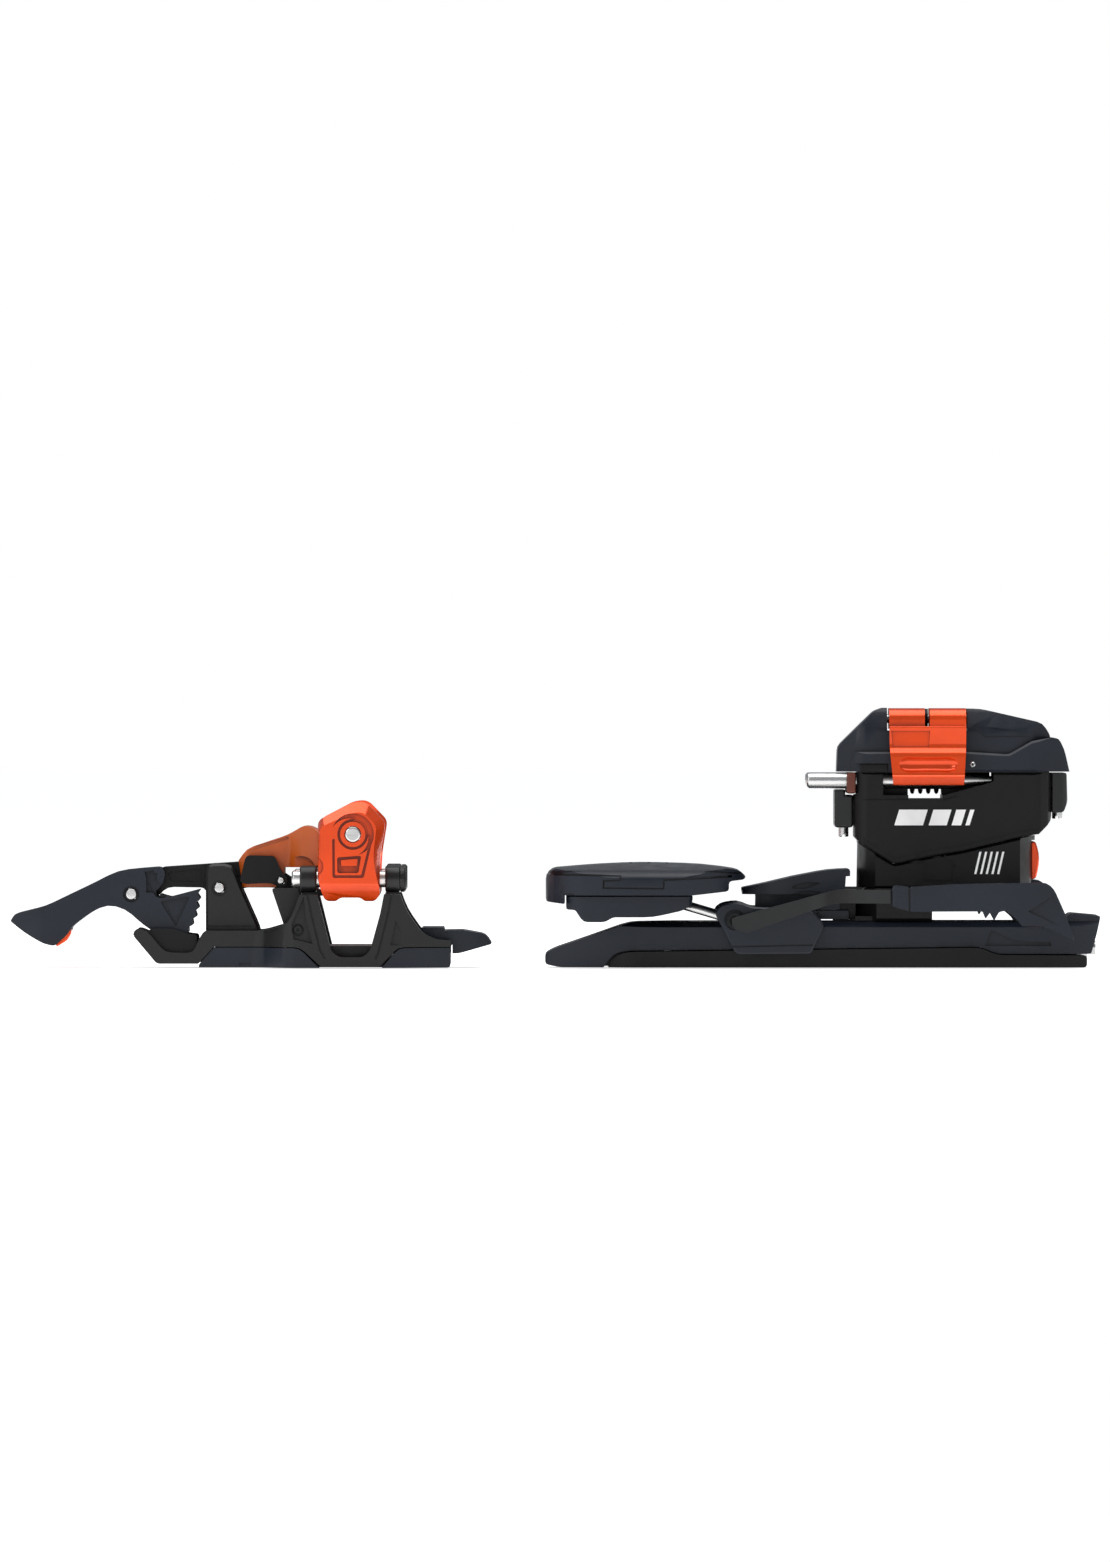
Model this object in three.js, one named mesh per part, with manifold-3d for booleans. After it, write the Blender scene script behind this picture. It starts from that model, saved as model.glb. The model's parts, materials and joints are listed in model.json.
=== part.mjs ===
// A pin-type ski touring binding: a toe unit with two spring-loaded jaws, and a heel unit with
// a turning tower, two spring pins, climbing aids and a ski brake, as they stand on one ski.
// Millimetres, +X towards the tail of the ski, +Z up, Z = 0 on the top face of the ski.
import * as THREE from 'three';
import { mergeVertices } from 'three/addons/utils/BufferGeometryUtils.js';
import Module from 'manifold-3d';

const wasm = await Module();
wasm.setup();

// ---- Driving dimensions -------------------------------------------------------------------
const GAP = 0.3; // clearance between touching pieces
const BORE_GAP = 0.15; // radial clearance of a pin in its bore
const TOE_X = -66.9; // line of the toe pins, from the middle of the binding
const HEEL_X = 128.7; // turning axis of the heel tower, from the middle of the binding
const TOE_PIN_Z = 44.4; // height of the toe pins
const TOE_PIN_R = 2.65; // half the diameter of a toe pin
const TOE_PIN_TIP_Y = 27; // half the distance between the two tips
const JAW_INNER_Y = 33; // inner face of a jaw at its pin
const JAW_OUTER_Y = 44; // outer face of a jaw
const SHAFT_Y = 29; // jaw shafts, beside the middle line
const SHAFT_Z = 29.5; // jaw shafts, above the ski
const SHAFT_R = 2.8; // jaw shaft radius
const ROCKER_PIN = { x: -44.7, z: 26.3 }; // rocker pivot, from the toe pins' line
const LEVER_PIN = { x: -74, z: 24.3 }; // lever pivot, from the toe pins' line
const PLATE_PIN = { x: -24.2, z: 28.7 }; // pin through the centre plate
const FRAME_HALF = 33.5; // half width of the toe frame at its posts
const LEVER_HALF = 14; // half width of the toe lever
const HEEL_PIN_Z = 62; // height of the heel pins
const HEEL_PIN_Y = 12.5; // heel pins, beside the middle line
const HEEL_PIN_R = 2.65; // half the diameter of a heel pin
const HEEL_PIN_BACK = 14; // a heel pin's pivot, behind the tower's turning axis
const TOWER_HALF = 19.5; // half width of the heel tower
const TOWER_TOP_Z = 86.2; // top of the tower above the ski
const CAP_SPLIT_Z = 65; // joint between the tower's housing and its cap
const RISER_AXLE_Z = 82.6; // axle of the climbing aids
const BRAKE_PIVOT = { x: -69, z: 15.7 }; // brake pivot, from the tower's turning axis

// ---- Colours ------------------------------------------------------------------------------
const FINISHES = {
  navy_plastic: { color: 0x2b303a, roughness: 0.6, metalness: 0 },
  black_alloy: { color: 0x2a2a2a, roughness: 0.5, metalness: 0.6 },
  black_plastic: { color: 0x1e1e20, roughness: 0.55, metalness: 0 },
  dark_steel: { color: 0x3a3d42, roughness: 0.4, metalness: 0.8 },
  orange_anodised: { color: 0xf4511a, roughness: 0.3, metalness: 0.8 },
  orange_plastic: { color: 0xe8580c, roughness: 0.45, metalness: 0 },
  steel: { color: 0xb8b9bb, roughness: 0.3, metalness: 1 },
  brown_bronze: { color: 0x6b3a2c, roughness: 0.5, metalness: 0.5 },
};

// ---- Making and joining solids --------------------------------------------------------------

// An outline from points [u, v] or [u, v, radius], whose corner is rounded by that radius or, on a
// short side, by a little less than half the side.
function outline(points) {
  const shape = new THREE.Shape();
  points.forEach(([u, v, radius = 0], i) => {
    const corner = new THREE.Vector2(u, v);
    const before = new THREE.Vector2(...points.at(i - 1).slice(0, 2)).sub(corner);
    const after = new THREE.Vector2(...points[(i + 1) % points.length].slice(0, 2)).sub(corner);
    const reach = Math.min(radius, 0.48 * before.length(), 0.48 * after.length());
    const entry = corner.clone().add(before.setLength(reach));
    const exit = corner.clone().add(after.setLength(reach));
    if (i === 0) shape.moveTo(entry.x, entry.y);
    else shape.lineTo(entry.x, entry.y);
    if (reach > 0) shape.quadraticCurveTo(corner.x, corner.y, exit.x, exit.y);
  });
  shape.closePath();
  return shape;
}

// A closed geometry as a solid that can be joined and cut.
function solid(geometry) {
  const bare = geometry.clone();
  bare.deleteAttribute('normal');
  bare.deleteAttribute('uv');
  const merged = mergeVertices(bare, 1e-4);
  const vertProperties = new Float32Array(merged.attributes.position.array);
  const triVerts = new Uint32Array(merged.index.array);
  return new wasm.Manifold(new wasm.Mesh({ numProp: 3, vertProperties, triVerts }));
}

// An outline pushed through a thickness along the third axis, with chamfered rims.
function pushed(points, thickness, chamfer) {
  const options = { depth: thickness - 2 * chamfer, curveSegments: 2, bevelEnabled: chamfer > 0 };
  Object.assign(options, { bevelThickness: chamfer, bevelSize: chamfer, bevelOffset: -chamfer });
  options.bevelSegments = 1;
  const geometry = new THREE.ExtrudeGeometry(outline(points), options);
  return geometry.translate(0, 0, chamfer);
}

function turnedTo(geometry, u, v, w, origin) {
  const matrix = new THREE.Matrix4().makeBasis(u, v, w).setPosition(origin);
  return geometry.applyMatrix4(matrix);
}

const X = new THREE.Vector3(1, 0, 0);
const Y = new THREE.Vector3(0, 1, 0);
const Z = new THREE.Vector3(0, 0, 1);

// A plate drawn from the side, as [x, z] points, between two distances across the ski.
function sidePlate(points, y0, y1, chamfer = 0) {
  const origin = new THREE.Vector3(0, y1, 0);
  return solid(turnedTo(pushed(points, y1 - y0, chamfer), X, Z, Y.clone().negate(), origin));
}

// A block drawn from the front, as [y, z] points, between two distances along the ski.
function frontPlate(points, x0, x1, chamfer = 0) {
  return solid(turnedTo(pushed(points, x1 - x0, chamfer), Y, Z, X, new THREE.Vector3(x0, 0, 0)));
}

// A block drawn from above, as [x, y] points, between two heights.
function topPlate(points, z0, z1, chamfer = 0) {
  return solid(turnedTo(pushed(points, z1 - z0, chamfer), X, Y, Z, new THREE.Vector3(0, 0, z0)));
}

function box(x0, x1, y0, y1, z0, z1) {
  const geometry = new THREE.BoxGeometry(x1 - x0, y1 - y0, z1 - z0);
  return solid(geometry.translate((x0 + x1) / 2, (y0 + y1) / 2, (z0 + z1) / 2));
}

// A turned piece: profile points [radius, distance along the axis], from one end to the other.
function turned(profile, axis, origin, sides = 16) {
  const points = profile.map(([radius, along]) => new THREE.Vector2(radius, along));
  const geometry = new THREE.LatheGeometry(points, sides);
  const turn = new THREE.Quaternion().setFromUnitVectors(Y, axis);
  return solid(geometry.applyQuaternion(turn).translate(...origin));
}

function rod(radius, from, to, axis, origin, sides = 16) {
  return turned([[0, from], [radius, from], [radius, to], [0, to]], axis, origin, sides);
}

function join(first, ...others) {
  return others.reduce((whole, other) => whole.add(other), first);
}

function cut(first, ...others) {
  return others.reduce((whole, other) => whole.subtract(other), first);
}

// The same outline on both sides of the middle line, as one closed plan.
function mirroredPlan(half) {
  return [...half, ...half.map(([x, y, r]) => [x, -y, r]).reverse()];
}

function part(group, name, finish, body) {
  const mesh = body.getMesh();
  const geometry = new THREE.BufferGeometry();
  geometry.setAttribute('position', new THREE.BufferAttribute(mesh.vertProperties, 3));
  geometry.setIndex(new THREE.BufferAttribute(mesh.triVerts, 1));
  geometry.computeVertexNormals();
  const piece = new THREE.Mesh(geometry, new THREE.MeshStandardMaterial(FINISHES[finish]));
  piece.name = name;
  group.add(piece);
  return piece;
}

// ---- Toe unit: every x is measured from the line of the toe pins ---------------------------

const DECK_Z = 7.2; // top of the toe frame's floor
const PAD_TOP_Z = 6.6; // top of the toe base pad
const PAD_TROUGH_Y = 16.3; // half width of the trough in the pad, where the frame's floor lies
const PAD_TROUGH_Z = 3.7; // bottom of that trough
const RAIL_IN_Y = 22; // inner face of the frame's rails at the posts
const HOOK_IN_Y = 15.5; // inner face of the hooks in front
const HOOK_OUT_Y = 20; // outer face of the hooks in front
const CHEEK_IN_Y = 9; // inner face of the rocker bracket's cheeks
const CHEEK_OUT_Y = 14; // outer face of the rocker bracket's cheeks
const BEARINGS = { front: [-17.7, -12.1], rear: [10.6, 15.6] };
const POST_TOP_Z = 24.4;

const FRAME_PLAN = [
  [-75, HOOK_OUT_Y], [-31, HOOK_OUT_Y, 3], [-22, FRAME_HALF, 3], [14, FRAME_HALF, 4], [33, 24],
];

// Side view of the frame's rails: front hook, low rail, two posts with the U between them.
const RAIL_SIDE = [
  [-65.4, 1.2, 1], [-51.7, 1.2], [-46.4, PAD_TOP_Z + GAP], [-17.7, PAD_TOP_Z + GAP, 2],
  [-10.6, 0.4, 1], [8.8, 0.4, 1], [14.9, PAD_TOP_Z + GAP, 2], [32.4, PAD_TOP_Z + GAP],
  [32.4, 9], [27.6, 9.3, 2], [22.9, 11.5, 2], [17.6, 19, 3], [15.6, POST_TOP_Z],
  [10.2, POST_TOP_Z], [9, 18, 3], [5.4, 5.2, 3], [3, 3.6, 1], [-4.4, 3.6, 1], [-7.2, 5.2, 3],
  [-11, 20, 3], [-12, POST_TOP_Z], [-17.7, POST_TOP_Z], [-21.4, 14.6, 3], [-30, 12.2, 2],
  [-49.6, 12.2, 1], [-51.4, 9.5, 2], [-53.2, 4.8, 2], [-62.6, 5, 2], [-68.4, 11.8, 1],
  [-72, 13.2, 1.5], [-73.6, 11, 1.5],
];

function toeFrame() {
  const rails = sidePlate(RAIL_SIDE, -FRAME_HALF, FRAME_HALF);
  const plan = topPlate(mirroredPlan(FRAME_PLAN), -1, 40);
  const trough = topPlate(mirroredPlan([[-80, HOOK_IN_Y], [-33, HOOK_IN_Y], [-22, RAIL_IN_Y],
    [34, RAIL_IN_Y - 3]]), DECK_Z, 40);
  const cup = box(-80, -50, -HOOK_IN_Y, HOOK_IN_Y, 3, 40);
  const sill = box(-11, 9, -RAIL_IN_Y - 2, RAIL_IN_Y + 2, 3, DECK_Z);
  const floor = box(-44, 32.2, -PAD_TROUGH_Y + GAP, PAD_TROUGH_Y - GAP, PAD_TROUGH_Z + GAP, DECK_Z);
  const padRoom = box(-18, 15.2, -PAD_TROUGH_Y, PAD_TROUGH_Y, -1, PAD_TROUGH_Z + GAP);
  const outer = cut(rails.intersect(plan), padRoom);
  return cut(join(outer, sill.intersect(plan), floor), trough, cup, padRoom);
}

// The bracket's cheek, on the rail and pierced for the rocker's pin.
function bracketCheek(side) {
  const shape = [
    [-49.2, PAD_TOP_Z + GAP], [-30, PAD_TOP_Z + GAP], [-31.5, 13.5, 2], [-37.6, 27, 3], [-40.4, 34.4, 2.5],
    [-49.2, 34.4, 2.5],
  ];
  const [near, far] = side > 0 ? [CHEEK_IN_Y, CHEEK_OUT_Y] : [-CHEEK_OUT_Y, -CHEEK_IN_Y];
  const [inner, outer] = side > 0 ? [near, HOOK_IN_Y + 1] : [-HOOK_IN_Y - 1, far];
  const foot = box(-49.2, -31, inner, outer, PAD_TOP_Z + GAP, 9);
  return join(sidePlate(shape, near, far, 0.8), foot);
}

// A strut that braces the front bearing from the deck.
function frameStrut(side) {
  const shape = [[-22.4, 12], [-16, 12], [-18.4, 26.4], [-27.2, 26.4, 1]];
  const [near, far] = side > 0 ? [RAIL_IN_Y - 1, 25] : [-25, 1 - RAIL_IN_Y];
  return sidePlate(shape, near, far);
}

function toeFrameWhole() {
  const bore = rod(1.75 + BORE_GAP, -30, 30, Y, [ROCKER_PIN.x, 0, ROCKER_PIN.z]);
  const shaftBores = [-1, 1].map((side) => rod(SHAFT_R + GAP, -24, 20, X, [0, side * SHAFT_Y, SHAFT_Z]));
  const screwBores = TOE_SCREWS.map(([x, y]) => rod(2.75, -1, 20, Z, [x, y, 0], 16));
  const whole = join(toeFrame(), bracketCheek(1), bracketCheek(-1), frameStrut(1), frameStrut(-1));
  return cut(whole, bore, ...shaftBores, ...screwBores);
}

const TOE_SCREWS = [[-23, -14], [-23, 14], [13, -14], [13, 14]];

function toePad() {
  const side = [
    [-51.4, 0], [32.2, 0, 1], [32.2, 4, 1], [32.2, PAD_TOP_Z], [-46.4, PAD_TOP_Z], [-51.4, 1, 1],
  ];
  const plan = mirroredPlan([[-52, HOOK_OUT_Y - 0.4], [-31, HOOK_OUT_Y - 0.4, 3],
    [-22, FRAME_HALF - 0.4, 3], [14, FRAME_HALF - 0.4, 4], [33, 23.6]]);
  const slab = sidePlate(side, -FRAME_HALF, FRAME_HALF).intersect(topPlate(plan, -1, 10));
  const waists = [-1, 1].map((s) => sidePlate([
    [-22, 8], [-22, PAD_TOP_Z], [-17.9, PAD_TOP_Z, 2], [-10.9, -0.4], [9.1, -0.4],
    [15.1, PAD_TOP_Z, 2], [20, PAD_TOP_Z], [20, 8],
  ], s > 0 ? PAD_TROUGH_Y - GAP : -40, s > 0 ? 40 : GAP - PAD_TROUGH_Y));
  const centre = box(-44.3, 33, -PAD_TROUGH_Y, PAD_TROUGH_Y, PAD_TROUGH_Z, 8);
  const screwBores = TOE_SCREWS.map(([x, y]) => rod(2.75, -1, 20, Z, [x, y, 0], 16));
  return cut(slab, ...waists, centre, ...screwBores);
}

function cramponReceiver() {
  const side = [
    [22.5, DECK_Z + GAP], [22.5, 13.3, 0.6], [29.9, 13.3], [30.3, 12.2], [36.6, 12.3, 1],
    [43.9, 11, 1.5], [46.1, 7.7, 0.8], [34.9, 4.6, 1], [32.8, 4.6], [32.8, DECK_Z + GAP],
  ];
  const plan = mirroredPlan([[22, 17, 1], [38, 17, 4], [47, 11, 2]]);
  const body = sidePlate(side, -17, 17).intersect(topPlate(plan, 0, 20));
  const slot = box(30.8, 36.6, -11, 11, 7, 20);
  return cut(body, slot);
}

// A wood screw seen from above: a flat head over its shank.
function mountingScrew(x, y, seat) {
  const profile = [[0, 0.5], [2.4, 0.5], [2.4, seat + GAP], [4.2, seat + GAP], [4.2, seat + 1.4],
    [3.4, seat + 2.2], [0, seat + 2.2]];
  const slot = box(x - 0.5, x + 0.5, y - 2.4, y + 2.4, seat + 1, seat + 3);
  const crossSlot = box(x - 2.4, x + 2.4, y - 0.5, y + 0.5, seat + 1, seat + 3);
  return cut(turned(profile, Z, [x, y, 0], 16), slot, crossSlot);
}

function jawBearing([x0, x1], side) {
  const body = turned([[0, x0], [4.1, x0], [4.5, x0 + 0.6], [4.5, x1 - 0.6], [4.1, x1], [0, x1]],
    X, [0, side * SHAFT_Y, SHAFT_Z]);
  return cut(body, rod(SHAFT_R + BORE_GAP, x0 - 1, x1 + 1, X, [0, side * SHAFT_Y, SHAFT_Z]));
}

function jawShaft(side) {
  const profile = [[0, -20.4], [2.3, -20.4], [SHAFT_R, -19.8], [SHAFT_R, 15.9], [3.5, 15.9],
    [3.5, 17], [0, 17]];
  return turned(profile, X, [0, side * SHAFT_Y, SHAFT_Z]);
}

// Side view of a jaw, from the toe pin.
const JAW_SIDE = [
  [-11.6, 4.6, 2], [-0.2, 10.6, 2.5], [4.2, 10.8, 2], [10.8, 4, 1.5], [8.9, -7.7, 3], [8.9, -17.4],
  [8.9, -19.8, 1], [7.4, -22.2, 1.5], [3.9, -22.2], [2.4, -21, 1], [-4.1, -21, 1], [-5.7, -22.2],
  [-9.2, -22.2, 2], [-10.8, -18, 2], [-11.6, -15, 2],
];

function jaw(side) {
  const sideView = JAW_SIDE.map(([x, z, r]) => [x, TOE_PIN_Z + z, r]);
  const frontView = [
    [36.5, 55.4, 1], [40.5, 55.4, 1], [JAW_OUTER_Y, 49.5, 2], [JAW_OUTER_Y, 33, 3], [40.5, 26, 2],
    [36, 22, 2], [26, 22, 2], [22.5, 26.2, 1], [9.6, 26.2, 0.6], [9.6, 31, 0.6], [23, 32.5, 2],
    [JAW_INNER_Y - 1, 37.5, 3], [JAW_INNER_Y, 50, 2],
  ].map(([y, z, r]) => [side * y, z, r]);
  const plan = [
    [-11.6, 24], [-11.6, 41, 2], [-7, 44.2, 3], [7.4, 44.2, 3], [10.8, 41, 2], [10.8, 24],
    [8, 20, 2], [8, 9], [-8, 9], [-8, 20, 2],
  ].map(([x, y, r]) => [x, side * y, r]);
  const body = sidePlate(sideView, ...(side > 0 ? [9, 45] : [-45, -9]));
  const shaped = body.intersect(frontPlate(frontView, -12, 11)).intersect(topPlate(plan, 20, 60));
  const pinBore = rod(TOE_PIN_R + BORE_GAP, -50, 50, Y, [0, 0, TOE_PIN_Z]);
  const shaftBore = rod(SHAFT_R + BORE_GAP, -20, 20, X, [0, side * SHAFT_Y, SHAFT_Z]);
  const outer = side > 0 ? [JAW_OUTER_Y - 1, 50] : [-50, 1 - JAW_OUTER_Y];
  const recess = sidePlate([[-5.4, -8.3, 0.8], [2.7, -7.4, 0.8], [1.8, -12.8, 0.8], [-5, -12.8, 0.8]]
    .map(([x, z, r]) => [x, TOE_PIN_Z + z, r]), ...outer);
  return cut(shaped, pinBore, shaftBore, recess);
}

function toePin(side) {
  const profile = [[0, TOE_PIN_TIP_Y], [1, TOE_PIN_TIP_Y], [1.6, TOE_PIN_TIP_Y + 0.6],
    [TOE_PIN_R, TOE_PIN_TIP_Y + 4], [TOE_PIN_R, JAW_OUTER_Y - 0.2], [TOE_PIN_R - 0.4, JAW_OUTER_Y + 0.2],
    [0, JAW_OUTER_Y + 0.2]];
  const axis = side > 0 ? Y : Y.clone().negate();
  return turned(profile, axis, [0, 0, TOE_PIN_Z], 24);
}

// A jaw spring lies across the ski between the two jaws' arms: its wire is drawn as one sleeve.
function jawSpring(x) {
  const profile = [[0, -9], [1.6, -9], [1.6, -8.4], [2.6, -8.4], [2.6, 8.4], [1.6, 8.4], [1.6, 9], [0, 9]];
  return turned(profile, Y, [x, 0, 28.6], 16);
}

// The rocker: a black arm from the lever's pin, over its own pivot, to a lifter under the jaws.
function rockerArm() {
  const side = [
    [LEVER_PIN.x - 4.6, 22, 3], [LEVER_PIN.x - 4.6, 28.6, 3], [-66, 32.4, 2], [-63, 33.3], [-38, 35, 1],
    [-27, 35, 2], [-23, 31, 2], [-16, 27.2, 2], [-11, 25.5, 1], [-1.8, 25.3, 0.8], [-1.8, 23.5, 0.8],
    [-15, 23.8, 2],
    [-26, 26.4, 2], [-38, 26.4, 3], [-42, 22.6, 3], [-47.4, 22.6, 3], [-50, 26.4, 1], [-62, 26.6, 2],
    [-69.6, 19.8, 3], [-74, 19.4, 3],
  ];
  const plan = mirroredPlan([[-80, 6.8], [-70, 6.8], [-64, 8.4, 2], [-18, 8.4, 2], [-12, 11.4, 1],
    [-1, 11.4]]);
  const body = sidePlate(side, -12, 12).intersect(topPlate(plan, 0, 60));
  const bores = [LEVER_PIN, ROCKER_PIN, PLATE_PIN].map(({ x, z }, i) => rod(
    PIN_RADII[i] + BORE_GAP, -20, 20, Y, [x, 0, z], 16));
  return cut(body, ...bores);
}

const PIN_RADII = [1.9, 1.75, 1.2]; // lever, rocker and plate pins

function crossPin(radius, half, { x, z }) {
  const dome = 0.3;
  return turned([[0, -half - dome], [radius - 0.5, -half - dome], [radius, -half], [radius, half],
    [radius - 0.5, half + dome], [0, half + dome]], Y, [x, 0, z]);
}

// The centre plate is a cap over the rocker's rear half, flared between the jaws.
function centrePlate() {
  const side = [
    [-38.4, 35.4], [-35.7, 39.3, 2], [-27, 42.3, 3], [-22.4, 43.7, 4], [-17, 46.9, 3], [-14.3, 46.9, 3],
    [-3, 41, 3], [-3, 36, 2], [-11, 33.4, 1], [-22, 32.2, 1], [-26, 26.6], [-37, 26.6],
  ];
  const plan = mirroredPlan([[-39, 8], [-36, 12.2, 2], [-21.4, 12.2, 1], [-15, 20, 4], [-3, 20, 3]]);
  const body = sidePlate(side, -20, 20, 0.8).intersect(topPlate(plan, 0, 60));
  const armRoom = box(-40, -21, -8.7, 8.7, 20, 35.4);
  const tail = box(-23, 0, -30, 30, 20, 33.2);
  const bore = rod(PIN_RADII[2] + BORE_GAP, -20, 20, Y, [PLATE_PIN.x, 0, PLATE_PIN.z], 16);
  return cut(body, armRoom, bore, tail);
}

function rockerCover(side) {
  const shape = [
    [-37.9, 28.4, 1], [-35.9, 37.2, 1.5], [-26.2, 37, 1], [-24.2, 32, 2], [-22, 29.8, 1.5],
    [-22.2, 27.2, 1], [-24.2, 26.4, 1.2], [-27.4, 28, 2], [-36, 27.6, 1],
  ];
  const [near, far] = side > 0 ? [12.5, 15.6] : [-15.6, -12.5];
  const bore = rod(PIN_RADII[2] + BORE_GAP, -20, 20, Y, [PLATE_PIN.x, 0, PLATE_PIN.z], 16);
  return cut(sidePlate(shape, near, far), bore);
}

// Side view of the toe lever, from the lever's pin: a pedal in front, a toothed sector behind.
const SECTOR_R = 23;
const SECTOR_TEETH = 5;

function leverSide() {
  const pedal = [
    [15.6, -14, 2], [9.4, -13.8, 3], [4, -10.2, 2], [-2, -4.9, 3], [-7.8, -3.5, 4], [-13, -5.8, 4],
    [-19.6, -10.8, 2], [-21, -13.2, 1], [-25.4, -17.3, 1], [-29, -16.6, 2], [-35.3, -13, 3], [-40.3, -9, 0.5],
    [-38.8, -6.6, 1], [-35, -5.6, 4], [-29.3, -4.3, 4], [-11.3, 4.3, 6], [-5, 7.6, 4], [2, 8.4, 2],
    [9.5, 9, 1], [11.4, 7.4, 1], [10.6, 3.6, 1], [8, 0.6, 0.6], [13, -1, 0.6],
  ];
  const first = 4 * Math.PI / 180;
  const step = 7.6 * Math.PI / 180;
  const teeth = [];
  for (let i = 0; i <= SECTOR_TEETH; i++) {
    const crest = first - i * step;
    const root = crest - step / 2;
    teeth.push([SECTOR_R * Math.cos(crest), SECTOR_R * Math.sin(crest), 0.5]);
    if (i === SECTOR_TEETH) break;
    teeth.push([(SECTOR_R - 1.1) * Math.cos(root), (SECTOR_R - 1.1) * Math.sin(root)]);
  }
  return [...pedal, ...teeth];
}

function toeLever() {
  const plan = mirroredPlan([[-41, 10, 1], [-38, 13, 3], [-30, LEVER_HALF + 2, 8],
    [-14, LEVER_HALF, 10], [24, LEVER_HALF]]);
  const body = sidePlate(leverSide(), -17, 17).intersect(topPlate(plan, -20, 12));
  const armRoom = box(-7, 30, -8.8, 8.8, -30, 20);
  const insertRoom = sidePlate([[-25.7, -17.2], [-23.3, -14], [-21.6, -11.8], [-20, -11.2], [-18, -11.2],
    [-18, -19], [-25.7, -19]], -12.9, 12.9);
  const claws = [-1, 1].map((s) => box(5, 8.6, s > 0 ? 12 : -20, s > 0 ? 20 : -12, 0.5, 7));
  const bore = rod(PIN_RADII[0] + BORE_GAP, -20, 20, Y, [0, 0, 0], 16);
  const pockets = [-1, 1].map((s) => sidePlate([[11, -2.2, 1], [18.2, -2, 1], [14.4, -9.6, 1]],
    s > 0 ? 12.8 : -20, s > 0 ? 20 : -12.8));
  return cut(body, armRoom, insertRoom, ...claws, bore, ...pockets);
}

function leverGrip() {
  return sidePlate([[-24.7, -17.5], [-21.4, -15.5, 0.8], [-19.9, -13, 0.8], [-20, -11.6], [-21.3, -12],
    [-23, -14.2], [-25.2, -16.9]], -12.6, 12.6);
}

function toeUnit() {
  const unit = new THREE.Group();
  unit.position.x = TOE_X;
  part(unit, 'toe_frame', 'black_alloy', toeFrameWhole());
  part(unit, 'toe_base_pad', 'navy_plastic', toePad());
  part(unit, 'crampon_receiver', 'navy_plastic', cramponReceiver());
  TOE_SCREWS.forEach(([x, y], i) => {
    part(unit, `toe_screw_${i + 1}`, 'steel', mountingScrew(x, y, DECK_Z));
  });
  for (const [name, side] of [['left', -1], ['right', 1]]) {
    part(unit, `front_bearing_${name}`, 'dark_steel', jawBearing(BEARINGS.front, side));
    part(unit, `rear_bearing_${name}`, 'dark_steel', jawBearing(BEARINGS.rear, side));
    part(unit, `jaw_shaft_${name}`, 'steel', jawShaft(side));
    part(unit, `jaw_${name}`, 'orange_anodised', jaw(side));
    part(unit, `toe_pin_${name}`, 'steel', toePin(side));
    part(unit, `rocker_cover_${name}`, 'navy_plastic', rockerCover(side));
  }
  part(unit, 'jaw_spring_front', 'steel', jawSpring(-4.2));
  part(unit, 'jaw_spring_rear', 'steel', jawSpring(4.2));
  part(unit, 'rocker_arm', 'black_plastic', rockerArm());
  part(unit, 'rocker_pin', 'steel', crossPin(PIN_RADII[1], CHEEK_OUT_Y, ROCKER_PIN));
  part(unit, 'centre_plate', 'orange_plastic', centrePlate());
  part(unit, 'plate_pin', 'steel', crossPin(PIN_RADII[2], 15.6, PLATE_PIN));
  part(unit, 'lever_pin', 'steel', crossPin(PIN_RADII[0], LEVER_HALF, LEVER_PIN));
  const lever = new THREE.Group();
  lever.position.set(LEVER_PIN.x, 0, LEVER_PIN.z);
  part(lever, 'toe_lever', 'navy_plastic', toeLever());
  part(lever, 'lever_grip', 'orange_plastic', leverGrip());
  unit.add(lever);
  return unit;
}

// ---- Heel unit: every x is measured from the turning axis of the tower ----------------------

const BASE_HALF = 24; // half width of the heel base plate
const TRACK_HALF = 22; // half width of the track on it
const CHANNEL_HALF = 13.9; // half width of the channel in the track
const CHANNEL = [-46, 39]; // the channel's two ends
const ADJUST_SCREW_Z = 6.3;
const HEEL_SCREWS = [[-91, -8.5, 11.5], [-91, 8.5, 11.5], [46, -10, 12], [46, 10, 12]]; // x, y, seat

function heelBasePlate() {
  const side = [
    [-111, 0], [48, 0, 1], [48, 4, 1], [18, 4.2, 2], [12.5, 6.6, 2], [-104.2, 5.2, 3],
    [-108.2, 4.2, 2], [-111, 1, 1],
  ];
  const plan = mirroredPlan([[-114, 17, 3], [-106, BASE_HALF, 6], [40, BASE_HALF, 4], [49, 20, 2]]);
  const body = sidePlate(side, -BASE_HALF, BASE_HALF).intersect(topPlate(plan, -1, 10));
  const screwRoom = box(CHANNEL[0] - 2, 60, -3.6, 3.6, 2.6, 20);
  return cut(body, screwRoom, ...heelScrewBores());
}

function heelScrewBores() {
  return HEEL_SCREWS.flatMap(([x, y, seat]) => [
    rod(2.75, -1, seat + 1, Z, [x, y, 0], 12), rod(4.6, seat, 30, Z, [x, y, 0]),
  ]);
}

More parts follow.
